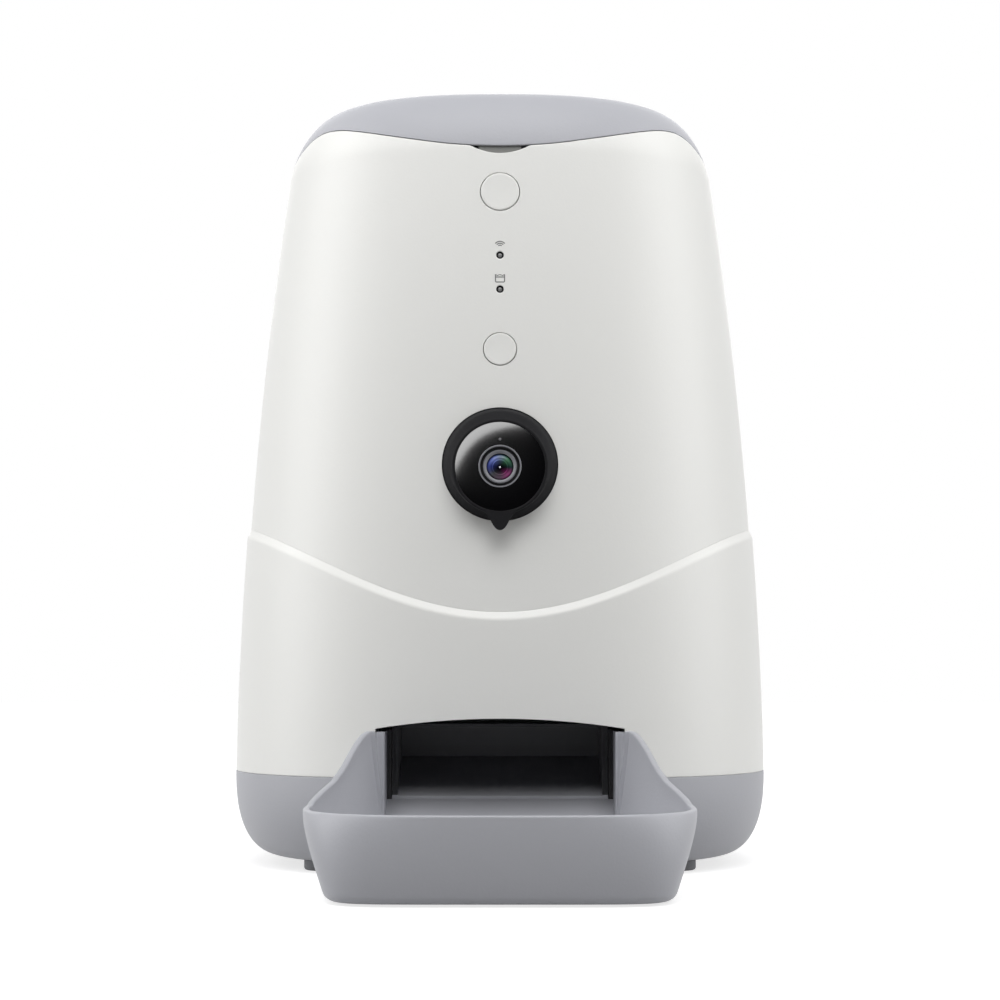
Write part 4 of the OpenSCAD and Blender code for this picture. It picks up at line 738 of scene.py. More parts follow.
def buildBasePan():
    rings = []
    rows, edge = sizes(panForm, "rows edge")
    for i in range(rows + 1):
        z = baseSeam - edge - (baseSeam - edge - footHeight) * cos(pi / 2 * i / rows) ** 1.6
        rings.append([planPoint(a, panHalf(z), z) for a in angles])
    rings.append([planPoint(a, panHalf(baseSeam) - edge, baseSeam) for a in angles])
    for z in spread(baseSeam, footHeight + wall, 8):
        rings.append([planPoint(a, panHalf(max(z, footHeight + 2)) - wall, z) for a in angles])
    obj = makeObject("basePanShell", *ringStack(rings))
    half = throatForm["half"]
    cuts = [boxParts((-half, -2 * bodyHalf, panForm["sill"]), (half, -throatForm["back"], 2 * baseSeam))]
    leg, hole = panForm["legHole"], speakerForm["hole"]
    legHole = lathe([(0, -2), (panForm["legFlare"], -2), (leg, footHeight + 0.8), (leg, footHeight + 3),
                     (0, footHeight + 3)], 48)
    cuts += [placed(shift(x, y, 0), legHole) for x, y in legPlaces]
    soundHole = lathe([(0, -2), (hole + 0.5, -2), (hole, footHeight + 0.5), (hole, 20), (0, 20)], 24)
    for ring in speakerForm["rings"]:
        for i in range(max(ring, 1)):
            turn = 2 * pi * i / max(ring, 1)
            here = shift(speakerForm["x"] + ring * cos(turn), speakerForm["y"] + ring * sin(turn), 0)
            cuts.append(placed(here, soundHole))
    cutAway(obj, cuts)
    finishPiece(obj, greyShell, "housing", "grey_shell", ["base_pan"], angle=40)
    evenNormals(obj)


def domePoint(phi, angle, inset):
    start = shellForm["domeStart"]
    z = start + (crownZ - inset - start) * sin(angle) ** (2 / shellForm["domeRise"])
    over = 1 - max(cos(angle), 0) ** (2 / shellForm["domeSpan"])
    return planPoint(phi, sideHalf(z) - shellForm["ledgeStep"] - inset - shellForm["edgeWidth"] * over, z)


def buildLid():
    edgeRound = shellForm["rimRound"]

    def startAngle(phi, inset, lift):
        share = domeShare(lidSeam(phi) + shellForm["seamGap"] + lift, inset)
        return asin(share ** (shellForm["domeRise"] / 2))

    def ring(share, inset, lift=0.0):
        found = []
        for a in angles:
            low = startAngle(a, inset, lift)
            found.append(domePoint(a, low + share * (pi / 2 - low), inset))
        return found

    def crown(across, inset):
        level = crownZ - inset
        half = across * upperHalf(level, inset)
        return [planPoint(a, half, level + shellForm["crownRise"] * (1 - across * across)) for a in angles]

    crownSteps = (0.92, 0.8, 0.65, 0.5, 0.35, 0.2, 0.08)
    inside = [crown(s, shellForm["lidWall"]) for s in crownSteps[::-2]]
    inside += [ring(1 - i / 24, shellForm["lidWall"]) for i in range(25)]
    turn = [ring(0, inset * edgeRound, lift * edgeRound)
            for inset, lift in ((0.7, 0), (0.3, 0.12), (0.08, 0.45))]
    outside = [ring(share, 0, edgeRound) for share in spread(0, 1, 64)] + [crown(s, 0) for s in crownSteps]
    addPiece("lidShell", ringStack(inside + turn + outside), greyShell, "lid", "grey_shell", ["lid_cover"],
             angle=50)


buildUpperHousing()
buildLowerHousing()
buildBasePan()
buildLid()
print("stage: outer shells")


# hinge behind the back wall: two knuckles on the housing and two on the lid

hingeForm = {"gap": 0.8, "rise": 1, "radius": 4, "bore": 1.55, "width": 11, "halfSpan": 34, "root": 1.4,
             "housingWeb": 18, "lidWeb": 7, "between": 0.3, "soft": 0.5}
hingeY = upperHalf(shellForm["lidSeam"]) + hingeForm["radius"] + hingeForm["gap"]
hingeZ = shellForm["lidSeam"] + hingeForm["rise"]


def buildHinge():
    radius, width, span = sizes(hingeForm, "radius width halfSpan")
    wallBack = upperHalf(shellForm["lidSeam"]) - hingeForm["root"]
    onHousing = ([(wallBack, hingeZ - hingeForm["housingWeb"])] + arc(hingeY, hingeZ, radius, -30, 210, 40)
                 + [(wallBack, hingeZ - radius)])
    onLid = ([(wallBack, hingeZ + hingeForm["lidWeb"])] + arc(hingeY, hingeZ, radius, 90, -183, 44)
             + [(wallBack, hingeZ + shellForm["lidGap"])])
    inner = span - width - hingeForm["between"]
    pin = hingeForm["bore"]
    bore = placed(shift(0, hingeY, hingeZ) @ Matrix.Rotation(radians(90), 4, "Y"),
                  lathe([(0, -2 * span), (pin, -2 * span), (pin, 2 * span), (0, 2 * span)], 48))
    for name, outline, far, finish, body, slotName in (
            ("housingKnuckles", onHousing, span, whiteShell, "housing", "white_shell"),
            ("lidKnuckles", onLid, inner, greyShell, "lid", "grey_shell")):
        sides = [prism(outline, side * (far - width), side * far) for side in (-1, 1)]
        obj = makeObject(name, *joinParts(sides))
        softenEdges(obj, hingeForm["soft"], 3, 50)
        cutAway(obj, [bore])
        finishPiece(obj, finish, body, slotName, angle=40)


buildHinge()
print("stage: hinge")


# hopper with its flange, and the liner under the lid

hopperForm = {"sideGap": 13.2, "frontGap": 23.2, "backGap": 13.2, "wall": 2, "drumRadius": 60,
              "drumForward": 8, "shoulderShare": 0.85, "shoulderRise": 0.48, "blend": 14, "lip": 1.6,
              "flange": 2.5, "edgeGap": 2.9, "bevel": 0.4}
hopperLow, hopperHigh = nodeBox("hopper")
drumTop, hopperRim = hopperLow[2], hopperHigh[2]
shoulderZ = drumTop + hopperForm["shoulderRise"] * (hopperRim - drumTop)


def mouthPoint(phi, grow, z):
    atSeam = upperHalf(shellForm["lidSeam"])
    across = atSeam - hopperForm["sideGap"] + grow
    along = atSeam - (hopperForm["frontGap"] if cos(phi) > 0 else hopperForm["backGap"]) + grow
    return (across * planReach(phi) * sin(phi), -along * planReach(phi) * cos(phi), z)


def hopperShare(z):
    # 0 at the drum's circle and 1 at the mouth, with a rounded shoulder between two straight slopes
    knee, blend = sizes(hopperForm, "shoulderShare blend")
    steep = knee / (shoulderZ - drumTop)
    gentle = (1 - knee) / (hopperRim - shoulderZ)
    past = limited((z - shoulderZ + blend) / (2 * blend))
    loss = (steep - gentle) * (blend * past * past if past < 1 else z - shoulderZ)
    return steep * (z - drumTop) - loss


def hopperPoint(phi, z, grow):
    share = hopperShare(z)
    mouth = mouthPoint(phi, grow, z)
    circle = hopperForm["drumRadius"] + grow
    atDrum = (circle * sin(phi), -hopperForm["drumForward"] - circle * cos(phi))
    return (share * mouth[0] + (1 - share) * atDrum[0], share * mouth[1] + (1 - share) * atDrum[1], z)


def hopperProfile(phi):
    lip, thick, bevel = sizes(hopperForm, "lip flange bevel")
    line = [hopperPoint(phi, z, 0) for z in spread(drumTop, hopperRim - lip, 30)]
    for turn in (22, 45, 67, 90):  # rounded mouth
        angle = radians(turn)
        line.append(hopperPoint(phi, hopperRim - lip + lip * sin(angle), lip * (1 - cos(angle))))
    edge = upperHalf(hopperRim) - hopperForm["edgeGap"]
    line += [planPoint(phi, edge - bevel, hopperRim), planPoint(phi, edge, hopperRim - bevel),
             planPoint(phi, edge, hopperRim - thick)]
    return line + [hopperPoint(phi, z, hopperForm["wall"]) for z in spread(hopperRim - thick, drumTop, 20)]


def buildHopper():
    addPiece("hopperShell", shellLoops(hopperProfile), paleInner, "housing", "pale_plastic", ["hopper"],
             angle=40)


linerForm = {"z": 287.6, "thick": 2, "edgeInset": 2.6, "skirtIn": 3, "skirtOut": 5, "skirtLow": 271.2,
             "cupRadius": 32, "cupWall": 2, "cupDepth": 8, "ribs": 14, "ribHalf": 0.7, "ribDepth": 3.5,
             "soft": 0.5}
tongueForm = {"half": 8.1, "behind": 1.0, "thick": 1.8, "gap": 0.25, "over": 0.5, "columns": 24, "rows": 8}


def skirtProfile(phi):
    inner, outer, soft = sizes(linerForm, "skirtIn skirtOut soft")
    low, high = linerForm["skirtLow"], linerForm["z"] + linerForm["thick"] / 2
    return [mouthPoint(phi, grow, z) for grow, z in (
        (inner, high), (inner, low + soft), (inner + soft, low), (outer - soft, low), (outer, low + soft),
        (outer, high))]


def buildLiner():
    z, thick, soft = sizes(linerForm, "z thick soft")
    plate = upperHalf(z + thick, linerForm["edgeInset"])
    rings = [[planPoint(a, plate - inset, level) for a in angles]
             for inset, level in ((soft, z), (0, z + soft), (0, z + thick - soft), (soft, z + thick))]
    radius, cupWall, cupLow = linerForm["cupRadius"], linerForm["cupWall"], z - linerForm["cupDepth"]
    cup = tubeParts([(radius, z + thick / 2), (radius, cupLow + soft), (radius - soft, cupLow),
                     (radius - cupWall + soft, cupLow), (radius - cupWall, cupLow + soft),
                     (radius - cupWall, z + thick / 2)])
    parts = [ringStack(rings), shellLoops(skirtProfile), cup]
    for i in range(linerForm["ribs"]):  # stiffening ribs from the cup to the skirt
        x, y, _ = mouthPoint(2 * pi * (i + 0.5) / linerForm["ribs"], linerForm["skirtIn"] + 1, 0)
        rib = boxParts((radius - 1, -linerForm["ribHalf"], z - linerForm["ribDepth"]),
                       (hypot(x, y), linerForm["ribHalf"], z + thick / 2))
        parts.append(placed(Matrix.Rotation(atan2(y, x), 4, "Z"), rib))
    addPiece("lidLiner", joinParts(parts), paleInner, "lid", "pale_plastic", ["lid_liner"])


def buildTongue():
    # the lid's finger tongue fills the middle of the notch; its darker grey is painted shade of the recess
    rings = []
    for x in spread(-1, 1, tongueForm["columns"]):
        x *= tongueForm["half"]
        phi = asin(x / upperHalf(shellForm["lidSeam"]))
        low = lidSeam(phi) - notchDrop(phi) + tongueForm["gap"]
        heights = spread(low, lidSeam(phi) + tongueForm["over"], tongueForm["rows"])
        front = [(x, planPoint(phi, upperHalf(z) - tongueForm["behind"], z)[1], z) for z in heights]
        rings.append(front + [(x, y + tongueForm["thick"], z) for _, y, z in front[::-1]])
    addPiece("lidTongue", ringStack(rings), tongueShadedGrey, "lid", "grey_shell", angle=50)


buildHopper()
buildLiner()
buildTongue()
print("stage: hopper and lid liner")


# feet and base screws, seen from below

footForm = {"radius": 9, "recess": 5.4}
footRubber = moulded("footRubber", tint(150, 151, 155), 0.75, drift=0.1, grain=1600, depth=0.2)
screwForm = {"head": 3, "shank": 1.5, "headLow": 4.8, "headTop": 7, "length": 15, "slot": 0.45,
             "slotReach": 1.9, "slotDepth": 1.1}


def buildFeet():
    high = nodeBox("rubber_feet")[1]
    radius, recess = sizes(footForm, "radius recess")
    footX, footY = high[0] - radius, high[1] - bodyShift - radius
    foot = lathe([(0, 0.6), (recess - 0.4, 0.6), (recess, 0.15), (recess + 0.2, 0), (radius - 0.9, 0),
                  (radius - 0.3, 0.25), (radius, 0.9), (radius, footHeight - 0.3), (radius - 0.3, footHeight),
                  (0, footHeight)], 64)
    parts = [placed(shift(x, y, 0), foot) for x in (-footX, footX) for y in (-footY, footY)]
    addPiece("rubberFeet", joinParts(parts), footRubber, "housing", "soft_rubber", ["rubber_feet"])


def buildBaseScrews():
    head, shank, low, top = sizes(screwForm, "head shank headLow headTop")
    tip = top + screwForm["length"]
    screw = lathe([(0, low), (head - 1.0, low + 0.08), (head - 0.35, low + 0.35), (head, low + 0.9),
                   (head, top), (shank, top), (shank, tip - 1), (0, tip)], 48)
    slot, reachOut, depth = sizes(screwForm, "slot slotReach slotDepth")
    parts, cuts = [], []
    for x, y in legPlaces:
        here = shift(x, y, 0)
        parts.append(placed(here, screw))
        for halfX, halfY in ((reachOut, slot), (slot, reachOut)):
            cuts.append(placed(here, boxParts((-halfX, -halfY, low - 1), (halfX, halfY, low + depth))))
    obj = makeObject("baseScrews", *joinParts(parts))
    for cut in cuts:
        cutAway(obj, [cut])
    finishPiece(obj, brightSteel, "housing", "steel", ["base_screws"])


buildFeet()
buildBaseScrews()
print("stage: feet and screws")


# feeding bowl: one wall that runs from the neck's right end round the front to its left end

bowlForm = {
    "halfWidth": 67.6, "wideAt": 145, "rimZ": 30, "neckZ": 54.4, "shoulderHalf": 48, "underside": 0.8,
    "wall": 2.2, "power": 3.5, "bottomPower": 7, "neckStart": 104, "neckBack": 84, "neckHalf": 44.6,
    "neckUnder": 7.8, "lean": 0.39, "frontRun": 4.5, "neckLean": 0.13, "leanSoft": 7, "floor": 2.4,
    "rampStart": 132, "rampZ": 28.5, "corner": 2.5, "firstLift": 8.2, "firstSlope": 2, "climbStart": 0.42,
    "climbSpan": 0.54, "fillet": 7, "roll": 0.7, "hollowHalf": 35.6, "hollowBack": 98.2, "hollowFront": 129.8,
    "neckBend": 1.2, "neckBehind": 2.6, "neckAhead": 2.4, "sideRows": 60, "frontRows": 72,
    "cornerRows": 8, "outerRows": 24,
}
bowlFront = bodyShift - bowlLow[1]  # reach of the rim in front of the body's axis


def backShare(d):
    return (bowlForm["wideAt"] - d) / (bowlForm["wideAt"] - bowlForm["neckStart"])


def rimZ(d):
    low, high, lift, slope = sizes(bowlForm, "rimZ neckZ firstLift firstSlope")
    start, span = sizes(bowlForm, "climbStart climbSpan")
    share = backShare(d)
    first = lift * limited(share * slope)
    return low + first + (high - low - lift) * ease((share - start) / span)


def rimStations():
    wide, start, half = sizes(bowlForm, "wideAt neckStart halfWidth")
    narrowing, power = half - bowlForm["shoulderHalf"], 2 / bowlForm["power"]
    stations = [(half - narrowing * max(backShare(d), 0) ** 1.3, d)
                for d in spread(start, wide, bowlForm["sideRows"])[:-1]]
    for turn in spread(0, pi / 2, bowlForm["frontRows"]):
        stations.append((half * max(cos(turn), 0) ** power, wide + (bowlFront - wide) * sin(turn) ** power))
    return stations


def leanRun(depth):
    # the wall is upright at the rim and leans further down
    soft = bowlForm["leanSoft"]
    return hypot(depth, soft) - soft


def wallPoint(station, z, inset):
    x, d = station
    wide = bowlForm["wideAt"]
    lean = bowlForm["lean"] + (bowlForm["neckLean"] - bowlForm["lean"]) * limited(backShare(d))
    depth = max(rimZ(d) - z, 0)
    if d <= wide:
        return (x - inset - lean * leanRun(depth), -d, z)
    power, whole = bowlForm["power"], bowlForm["rimZ"] - bowlForm["underside"]
    half = bowlForm["halfWidth"]
    turn = atan2(((d - wide) / (bowlFront - wide)) ** (power / 2), (x / half) ** (power / 2))
    power += (bowlForm["bottomPower"] - power) * min(depth / whole, 1)  # the outline is squarer at the bottom
    even = sin(turn) ** 2  # the front curves in late, near its foot
    out = -inset - (1 - even) * lean * leanRun(depth) - even * bowlForm["frontRun"] * (depth / whole) ** 2
    return ((half + out) * max(cos(turn), 0) ** (2 / power),
            -wide - (bowlFront + out - wide) * sin(turn) ** (2 / power), z)


def bowlUnder(d):
    low, high = sizes(bowlForm, "underside neckUnder")
    return low + (high - low) * (1 - ease((d - bowlForm["neckStart"] - 4) / 8))


def bowlFloor(d):
    base, start = bowlForm["underside"] + bowlForm["floor"], bowlForm["rampStart"]
    return base + (bowlForm["rampZ"] - base) * max(start - d, 0) / (start - bowlForm["neckBack"])


def bowlProfile(station):
    d = station[1]
    corner, thick, roll = sizes(bowlForm, "corner wall roll")
    under, rim, floor = bowlUnder(d), rimZ(d), bowlFloor(d)
    fillet = min(bowlForm["fillet"], 0.5 * (rim - floor))
    line = []  # height, and distance from the outer face
    for turn in spread(0, pi / 2, bowlForm["cornerRows"]):  # rounded lower edge
        line.append((under + corner * (1 - cos(turn)), corner * (1 - sin(turn))))
    line += [(z, 0) for z in spread(under + corner, rim - roll, bowlForm["outerRows"])[1:]]
    for i in range(1, 10):  # rounded rim, flat in the middle
        turn = pi * i / 10
        flat = thick - 2 * roll if i > 5 else (thick - 2 * roll) / 2 if i == 5 else 0
        line.append((rim - roll + roll * sin(turn), flat + roll * (1 - cos(turn))))
    line += [(z, thick) for z in spread(rim - roll, floor + fillet, 20)]
    for turn in spread(0, pi / 2, 8)[1:]:  # fillet to the floor
        line.append((floor + fillet * (1 - sin(turn)), thick + fillet * (1 - cos(turn))))
    return [wallPoint(station, z, inset) for z, inset in line]


def buildBowl():
    right = [bowlProfile(s) for s in rimStations()]
    lines = right + [[(-x, y, z) for x, y, z in line] for line in right[-2::-1]]
    count, size = len(lines), len(lines[0])
    points = [p for line in lines for p in line]
    faces = [(k * size + i, (k + 1) * size + i, (k + 1) * size + i + 1, k * size + i + 1)
             for k in range(count - 1) for i in range(size - 1)]
    for level in (0, size - 1):  # underside and floor run across from side to side
        for k in range(count // 2):
            a, b = k * size + level, (k + 1) * size + level
            c, d = (count - 2 - k) * size + level, (count - 1 - k) * size + level
            faces.append((a, b, c, d) if b != c else (a, b, d))
    for k in (0, (count - 1) * size):  # ends of the walls at the neck
        for i in range(sum(sizes(bowlForm, "cornerRows outerRows")) + 1):
            faces.append((k + i, k + i + 1, k + size - 2 - i, k + size - 1 - i))
    faces.append((0, size - 1, (count - 1) * size + size - 1, (count - 1) * size))
    obj = makeObject("bowlShell", points, [tuple(dict.fromkeys(f)) for f in faces])
    half, back, front = sizes(bowlForm, "hollowHalf hollowBack hollowFront")
    side = [(-back, -1), (-front, -1), (-front, bowlFloor(front) - bowlForm["floor"]),
            (-back, bowlFloor(back) - bowlForm["floor"])]
    cutAway(obj, [prism(side, -half, half)])  # hollow below the ramp
    finishPiece(obj, greyShell, "bowl", "grey_shell", ["feeding_bowl"], angle=42)


def neckPlan(z):
    # plan of one side of the neck at a height: the return beside the throat, then the neck's cheek
    thick, start, back, cheek, most = sizes(bowlForm, "wall neckStart neckBack neckHalf neckBend")
    outer = bowlForm["shoulderHalf"] - bowlForm["neckLean"] * leanRun(bowlForm["neckZ"] - z) - 0.1
    inner = cheek - thick
    wallFace = max(outer - thick, inner + most)
    bend = min(most, 0.45 * (wallFace - inner))
    behind, ahead = start - bowlForm["neckBehind"], start + bowlForm["neckAhead"]
    line = [(cheek, back), (cheek, behind), (outer, behind), (outer, ahead), (wallFace, ahead)]
    line += [(wallFace - bend + x, start + bend + y) for x, y in arc(0, 0, bend, 0, -90, 5)]
    line += [(inner + bend + x, start - bend + y) for x, y in arc(0, 0, bend, 90, 180, 5)]
    return line + [(inner, back)]


def buildNeck():
    top, low = bowlForm["neckZ"] - 0.35, bowlForm["neckUnder"] + 0.4
    parts = [ringStack([[(side * x, -d, z) for x, d in neckPlan(z)] for z in spread(low, top, 24)])
             for side in (-1, 1)]
    inner, back, start = bowlForm["neckHalf"] - bowlForm["wall"], bowlForm["neckBack"], bowlForm["neckStart"]
    high, low, thick = bowlFloor(back), bowlFloor(start), bowlForm["floor"]
    ramp = [(-back, high), (-start, low), (-start, low - thick), (-back, high - thick)]
    parts.append(prism(ramp, -inner - 0.5, inner + 0.5))
    neck = makeObject("bowlNeck", *joinParts(parts))
    softenEdges(neck, 0.5, 3, 60)
    finishPiece(neck, greyShell, "bowl", "grey_shell", angle=50)


trimForm = {"inner": 40.7, "outer": 45.6, "front": 83.5, "thick": 2, "low": 26, "high": 54.6, "soft": 0.3}


def buildThroatTrim():
    # strips that close the slits between the chute and the throat's cheeks
    inner, outer, front, thick, low, high = sizes(trimForm, "inner outer front thick low high")
    parts = [boxParts((near, -front, low), (far, -front + thick, high))
             for near, far in ((-outer, -inner), (inner, outer))]
    trim = makeObject("throatTrim", *joinParts(parts))
    softenEdges(trim, trimForm["soft"], 3)
    return finishPiece(trim, darkDuct, "housing", "dark_plastic", angle=50)


buildBowl()
buildNeck()
throatTrim = buildThroatTrim()
print("stage: bowl")


# front controls

buttonForm = {"proud": 0.3, "soft": 0.35, "dish": 0.12, "flange": 1.2}


def buttonParts(z, radius):
    # a slightly dished cap with a soft edge, on its flange
    proud, soft, dish = sizes(buttonForm, "proud soft dish")
    flange = radius + buttonForm["flange"]
    profile = [(0, -4.4), (flange, -4.4), (flange, -3.2), (radius, -3.2)]
    profile += [(radius - soft + soft * cos(radians(t)), proud - soft + soft * sin(radians(t)))
                for t in (0, 22, 45, 67, 90)]
    profile += [(radius * s, proud - dish * (1 - s * s)) for s in (0.85, 0.65, 0.45, 0.25, 0.1, 0)]
    return placed(frontMatrix(z), lathe(profile, 96))


def buildControls():
    for name, names, body, node in (("feedButtonCap", "feedZ feedRadius", "feed_key", "feed_button"),
                                    ("callButtonCap", "callZ callRadius", "call_key", "call_button")):
        parts = buttonParts(*sizes(controlSizes, names))
        addPiece(name, parts, whiteShell, body, "white_shell", [node], angle=40)
    outer, pipe = sizes(controlSizes, "lightRadius pipe")
    bezel = lathe([(0.8, -5), (outer, -5), (outer, -0.25), (outer - 0.1, -0.15), (0.9, -0.5),
                   (0.8, -0.7)], 48)
    dome = [(pipe * cos(radians(t)), -0.6 + 0.3 * sin(radians(t))) for t in (20, 40, 60, 80)]
    tip = lathe([(0, -12.8), (pipe, -12.8), (pipe, -0.6)] + dome + [(0, -0.3)], 48)
    bezels, tips = (joinParts([placed(frontMatrix(controlSizes[z]), part) for z in ("networkZ", "foodZ")])
                    for part in (bezel, tip))
    addPiece("lightBezels", bezels, charcoalRing, "housing", "dark_plastic")
    addPiece("lightPipeTips", tips, lightPipe, "housing", "pale_plastic", ["light_pipes"])


def stroke(path, width, z, proud=0.02):
    # flat printed line along a path drawn on the front
    half, points = width / 2, []
    for i, (x, y) in enumerate(path):
        ahead = path[min(i + 1, len(path) - 1)]
        behind = path[max(i - 1, 0)]
        dx, dy = ahead[0] - behind[0], ahead[1] - behind[1]
        length = hypot(dx, dy) or 1
        for side in (-1, 1):
            points.append((x - side * half * dy / length, y + side * half * dx / length, proud))
    faces = [(2 * i, 2 * i + 1, 2 * i + 3, 2 * i + 2) for i in range(len(path) - 1)]
    return placed(frontMatrix(z), (points, faces))


iconForm = {"waveZ": 237.2, "tubZ": 224.0, "line": 0.42}


def buildIcons():
    line, tub = sizes(iconForm, "line tubZ")
    parts = [stroke(arc(0, -1.15, radius, 38, 142, 24), line, iconForm["waveZ"])
             for radius in (0.75, 1.5, 2.25)]  # three arcs for the network light
    base = arc(-1.3, -1.1, 0.4, 180, 270, 6) + arc(1.3, -1.1, 0.4, 270, 360, 6)
    food = [(-1.7, 1.4), (-0.9, 1.0), (-0.4, 1.3), (0.4, 1.3), (0.9, 1.0), (1.7, 1.4)]
    parts.append(stroke([(-1.7, 1.5), (-1.7, -1.1)] + base + [(1.7, 1.5)], line, tub))
    parts.append(stroke([(-1.7, 0.45), (1.7, 0.45)], line, tub))
    parts.append(stroke(food, line * 0.8, tub))
    addPiece("printedIcons", joinParts(parts), printInk, "housing", "dark_plastic")


buildControls()
buildIcons()
print("stage: buttons, lights and icons")


# camera ball

# spark is the radius share of the painted white glint on the lens
lensForm = {"seat": 8.0, "trim": 7.4, "collar": 6.3, "element": 5.0, "spark": 0.07, "rimDrop": 2.1,
            "faceRise": 2.0, "glassRise": 1.7, "glassBow": 0.4, "nubWidth": 10.8, "dotUp": 10.1}
lipF = sqrt(ballRadius ** 2 - ballForm["lipRadius"] ** 2)
windowF = lipF - lensForm["rimDrop"]
lensFace = windowF + lensForm["faceRise"]


def lensMatrix():
    # the window sits a little below the middle of the ball
    return ballMatrix() @ shift(0, -ballForm["drop"], 0)


def onBall(parts):
    return placed(lensMatrix(), parts)


def nubShare(turn):
    # 1 at the foot of the ring, falling to 0 at both sides
    side = abs((degrees(turn) - 270 + 180) % 360 - 180)
    return exp(-(side / lensForm["nubWidth"]) ** 2.2)


def buildRing():
    soft, back, rows, steps = 0.45, -12, 28, 240
    window, dropFrom = sizes(ballForm, "windowRadius dropFrom")
    profile = []
    for i in range(rows + 1):  # the ball's outer face, from behind the housing up to the lip
        f = back + (lipF - soft - back) * (1 - (1 - i / rows) ** 1.7)
        profile.append((sqrt(ballRadius ** 2 - f * f), f))
    edge = profile[-1][0]
    profile += [(edge - 0.12, lipF - 0.18), (edge - 0.45, lipF), (window + 0.5, lipF),
                (window + 0.22, lipF - 0.1), (window + 0.06, lipF - 0.4), (window + 0.06, windowF - 1),
                (window - 1.4, windowF - 1), (window - 1.4, back)]
    tipReach = ballForm["edgeRadius"] + ballForm["nubReach"]
    turns = [2 * pi * i / steps for i in range(steps)]
    loops = []
    for k, (r, f) in enumerate(profile):
        level = ease((f - (lipF - 2.3)) / 1.6) if r > window + 0.45 else 0
        pull = level * max(tipReach - r, 0) * (1 if r > ballForm["lipRadius"] - 1 else 0.4)
        drop = ballForm["drop"] * (ease((f - dropFrom) / (lipF - dropFrom)) if k <= rows else 1)
        reaches = [r + pull * nubShare(turn) for turn in turns]
        loops.append([(here * cos(turn), here * sin(turn) - drop, f) for here, turn in zip(reaches, turns)])
    addPiece("cameraRing", placed(ballMatrix(), loopSurface(loops)), charcoalRing, "camera", "dark_plastic",
             ["camera_ball"], angle=48)


def glassHeight(share):
    # the window is flat in the middle and rolls over towards its rim
    return windowF + lensForm["glassRise"] + lensForm["glassBow"] * (1 - share ** 4)


def buildGlass():
    radius, seat = ballForm["windowRadius"], lensForm["seat"]
    profile = [(seat, windowF), (radius, windowF), (radius, glassHeight(1))]
    profile += [(radius * s, glassHeight(s)) for s in [1 - 0.03 * i for i in range(1, 17)]]
    profile.append((seat, glassHeight(seat / radius)))
    return addPiece("cameraGlass", onBall(tubeParts(profile, 160)), glossBlack, "camera", "black_gloss",
                    ["camera_window"], angle=60)


def buildLens():
    seat, trim, collar, element = sizes(lensForm, "seat trim collar element")
    face, rim = lensFace, seat - 0.05
    well = [(0, windowF - 8), (rim, windowF - 8), (rim, face - 0.3), (trim, face - 0.3),
            (trim - 0.1, face - 1.3), (collar, face - 1.3), (collar - 0.3, face - 2.6), (0, face - 2.6)]
    addPiece("lensBarrel", onBall(lathe(well, 128)), lensWell, "camera", "dark_plastic", ["lens_barrel"],
             angle=25)
    thin = [(rim, face - 0.5), (rim, face + 0.1), (seat - 0.2, face + 0.22), (trim + 0.1, face + 0.22),
            (trim, face + 0.1), (trim, face - 0.5)]
    broad = [(collar, face - 1.5), (collar, face - 0.75), (collar - 0.2, face - 0.55),
             (collar - 0.55, face - 0.55), (element + 0.25, face - 1.0), (element, face - 1.15),
             (element, face - 1.5)]
    for name, profile in (("lensTrimRing", thin), ("lensCollar", broad)):
        addPiece(name, onBall(tubeParts(profile, 128)), ringSilver, "camera", "dark_plastic")
    inner = element - 0.03
    dome = [(0, face - 2.6), (inner, face - 2.6)]
    dome += [(inner * cos(radians(t)), face - 2.4 + 1.5 * sin(radians(t))) for t in range(5, 90, 8)]
    dome.append((0, face - 0.9))
    addPiece("lensDome", onBall(lathe(dome, 96)), lensPaintedReflections, "camera", "lens", ["lens_glass"], angle=40)
    up = lensForm["dotUp"]
    level = glassHeight(up / ballForm["windowRadius"])
    dot = lathe([(0, level - 0.6), (0.52, level - 0.6), (0.5, level + 0.02), (0.38, level + 0.06),
                 (0, level + 0.08)], 32)
    addPiece("microphoneDot", onBall(placed(shift(0, up, 0), dot)), dotGrey, "camera", "dark_plastic")


def rampNode(tree, fac, stops):
    node = addNode(tree, "ValToRGB", {"Fac": fac})
    ramp = node.color_ramp
    while len(ramp.elements) < len(stops):
        ramp.elements.new(0.5)
    for element, (place, colour) in zip(ramp.elements, stops):
        element.position = place
        element.color = colour
    return node.outputs["Color"]


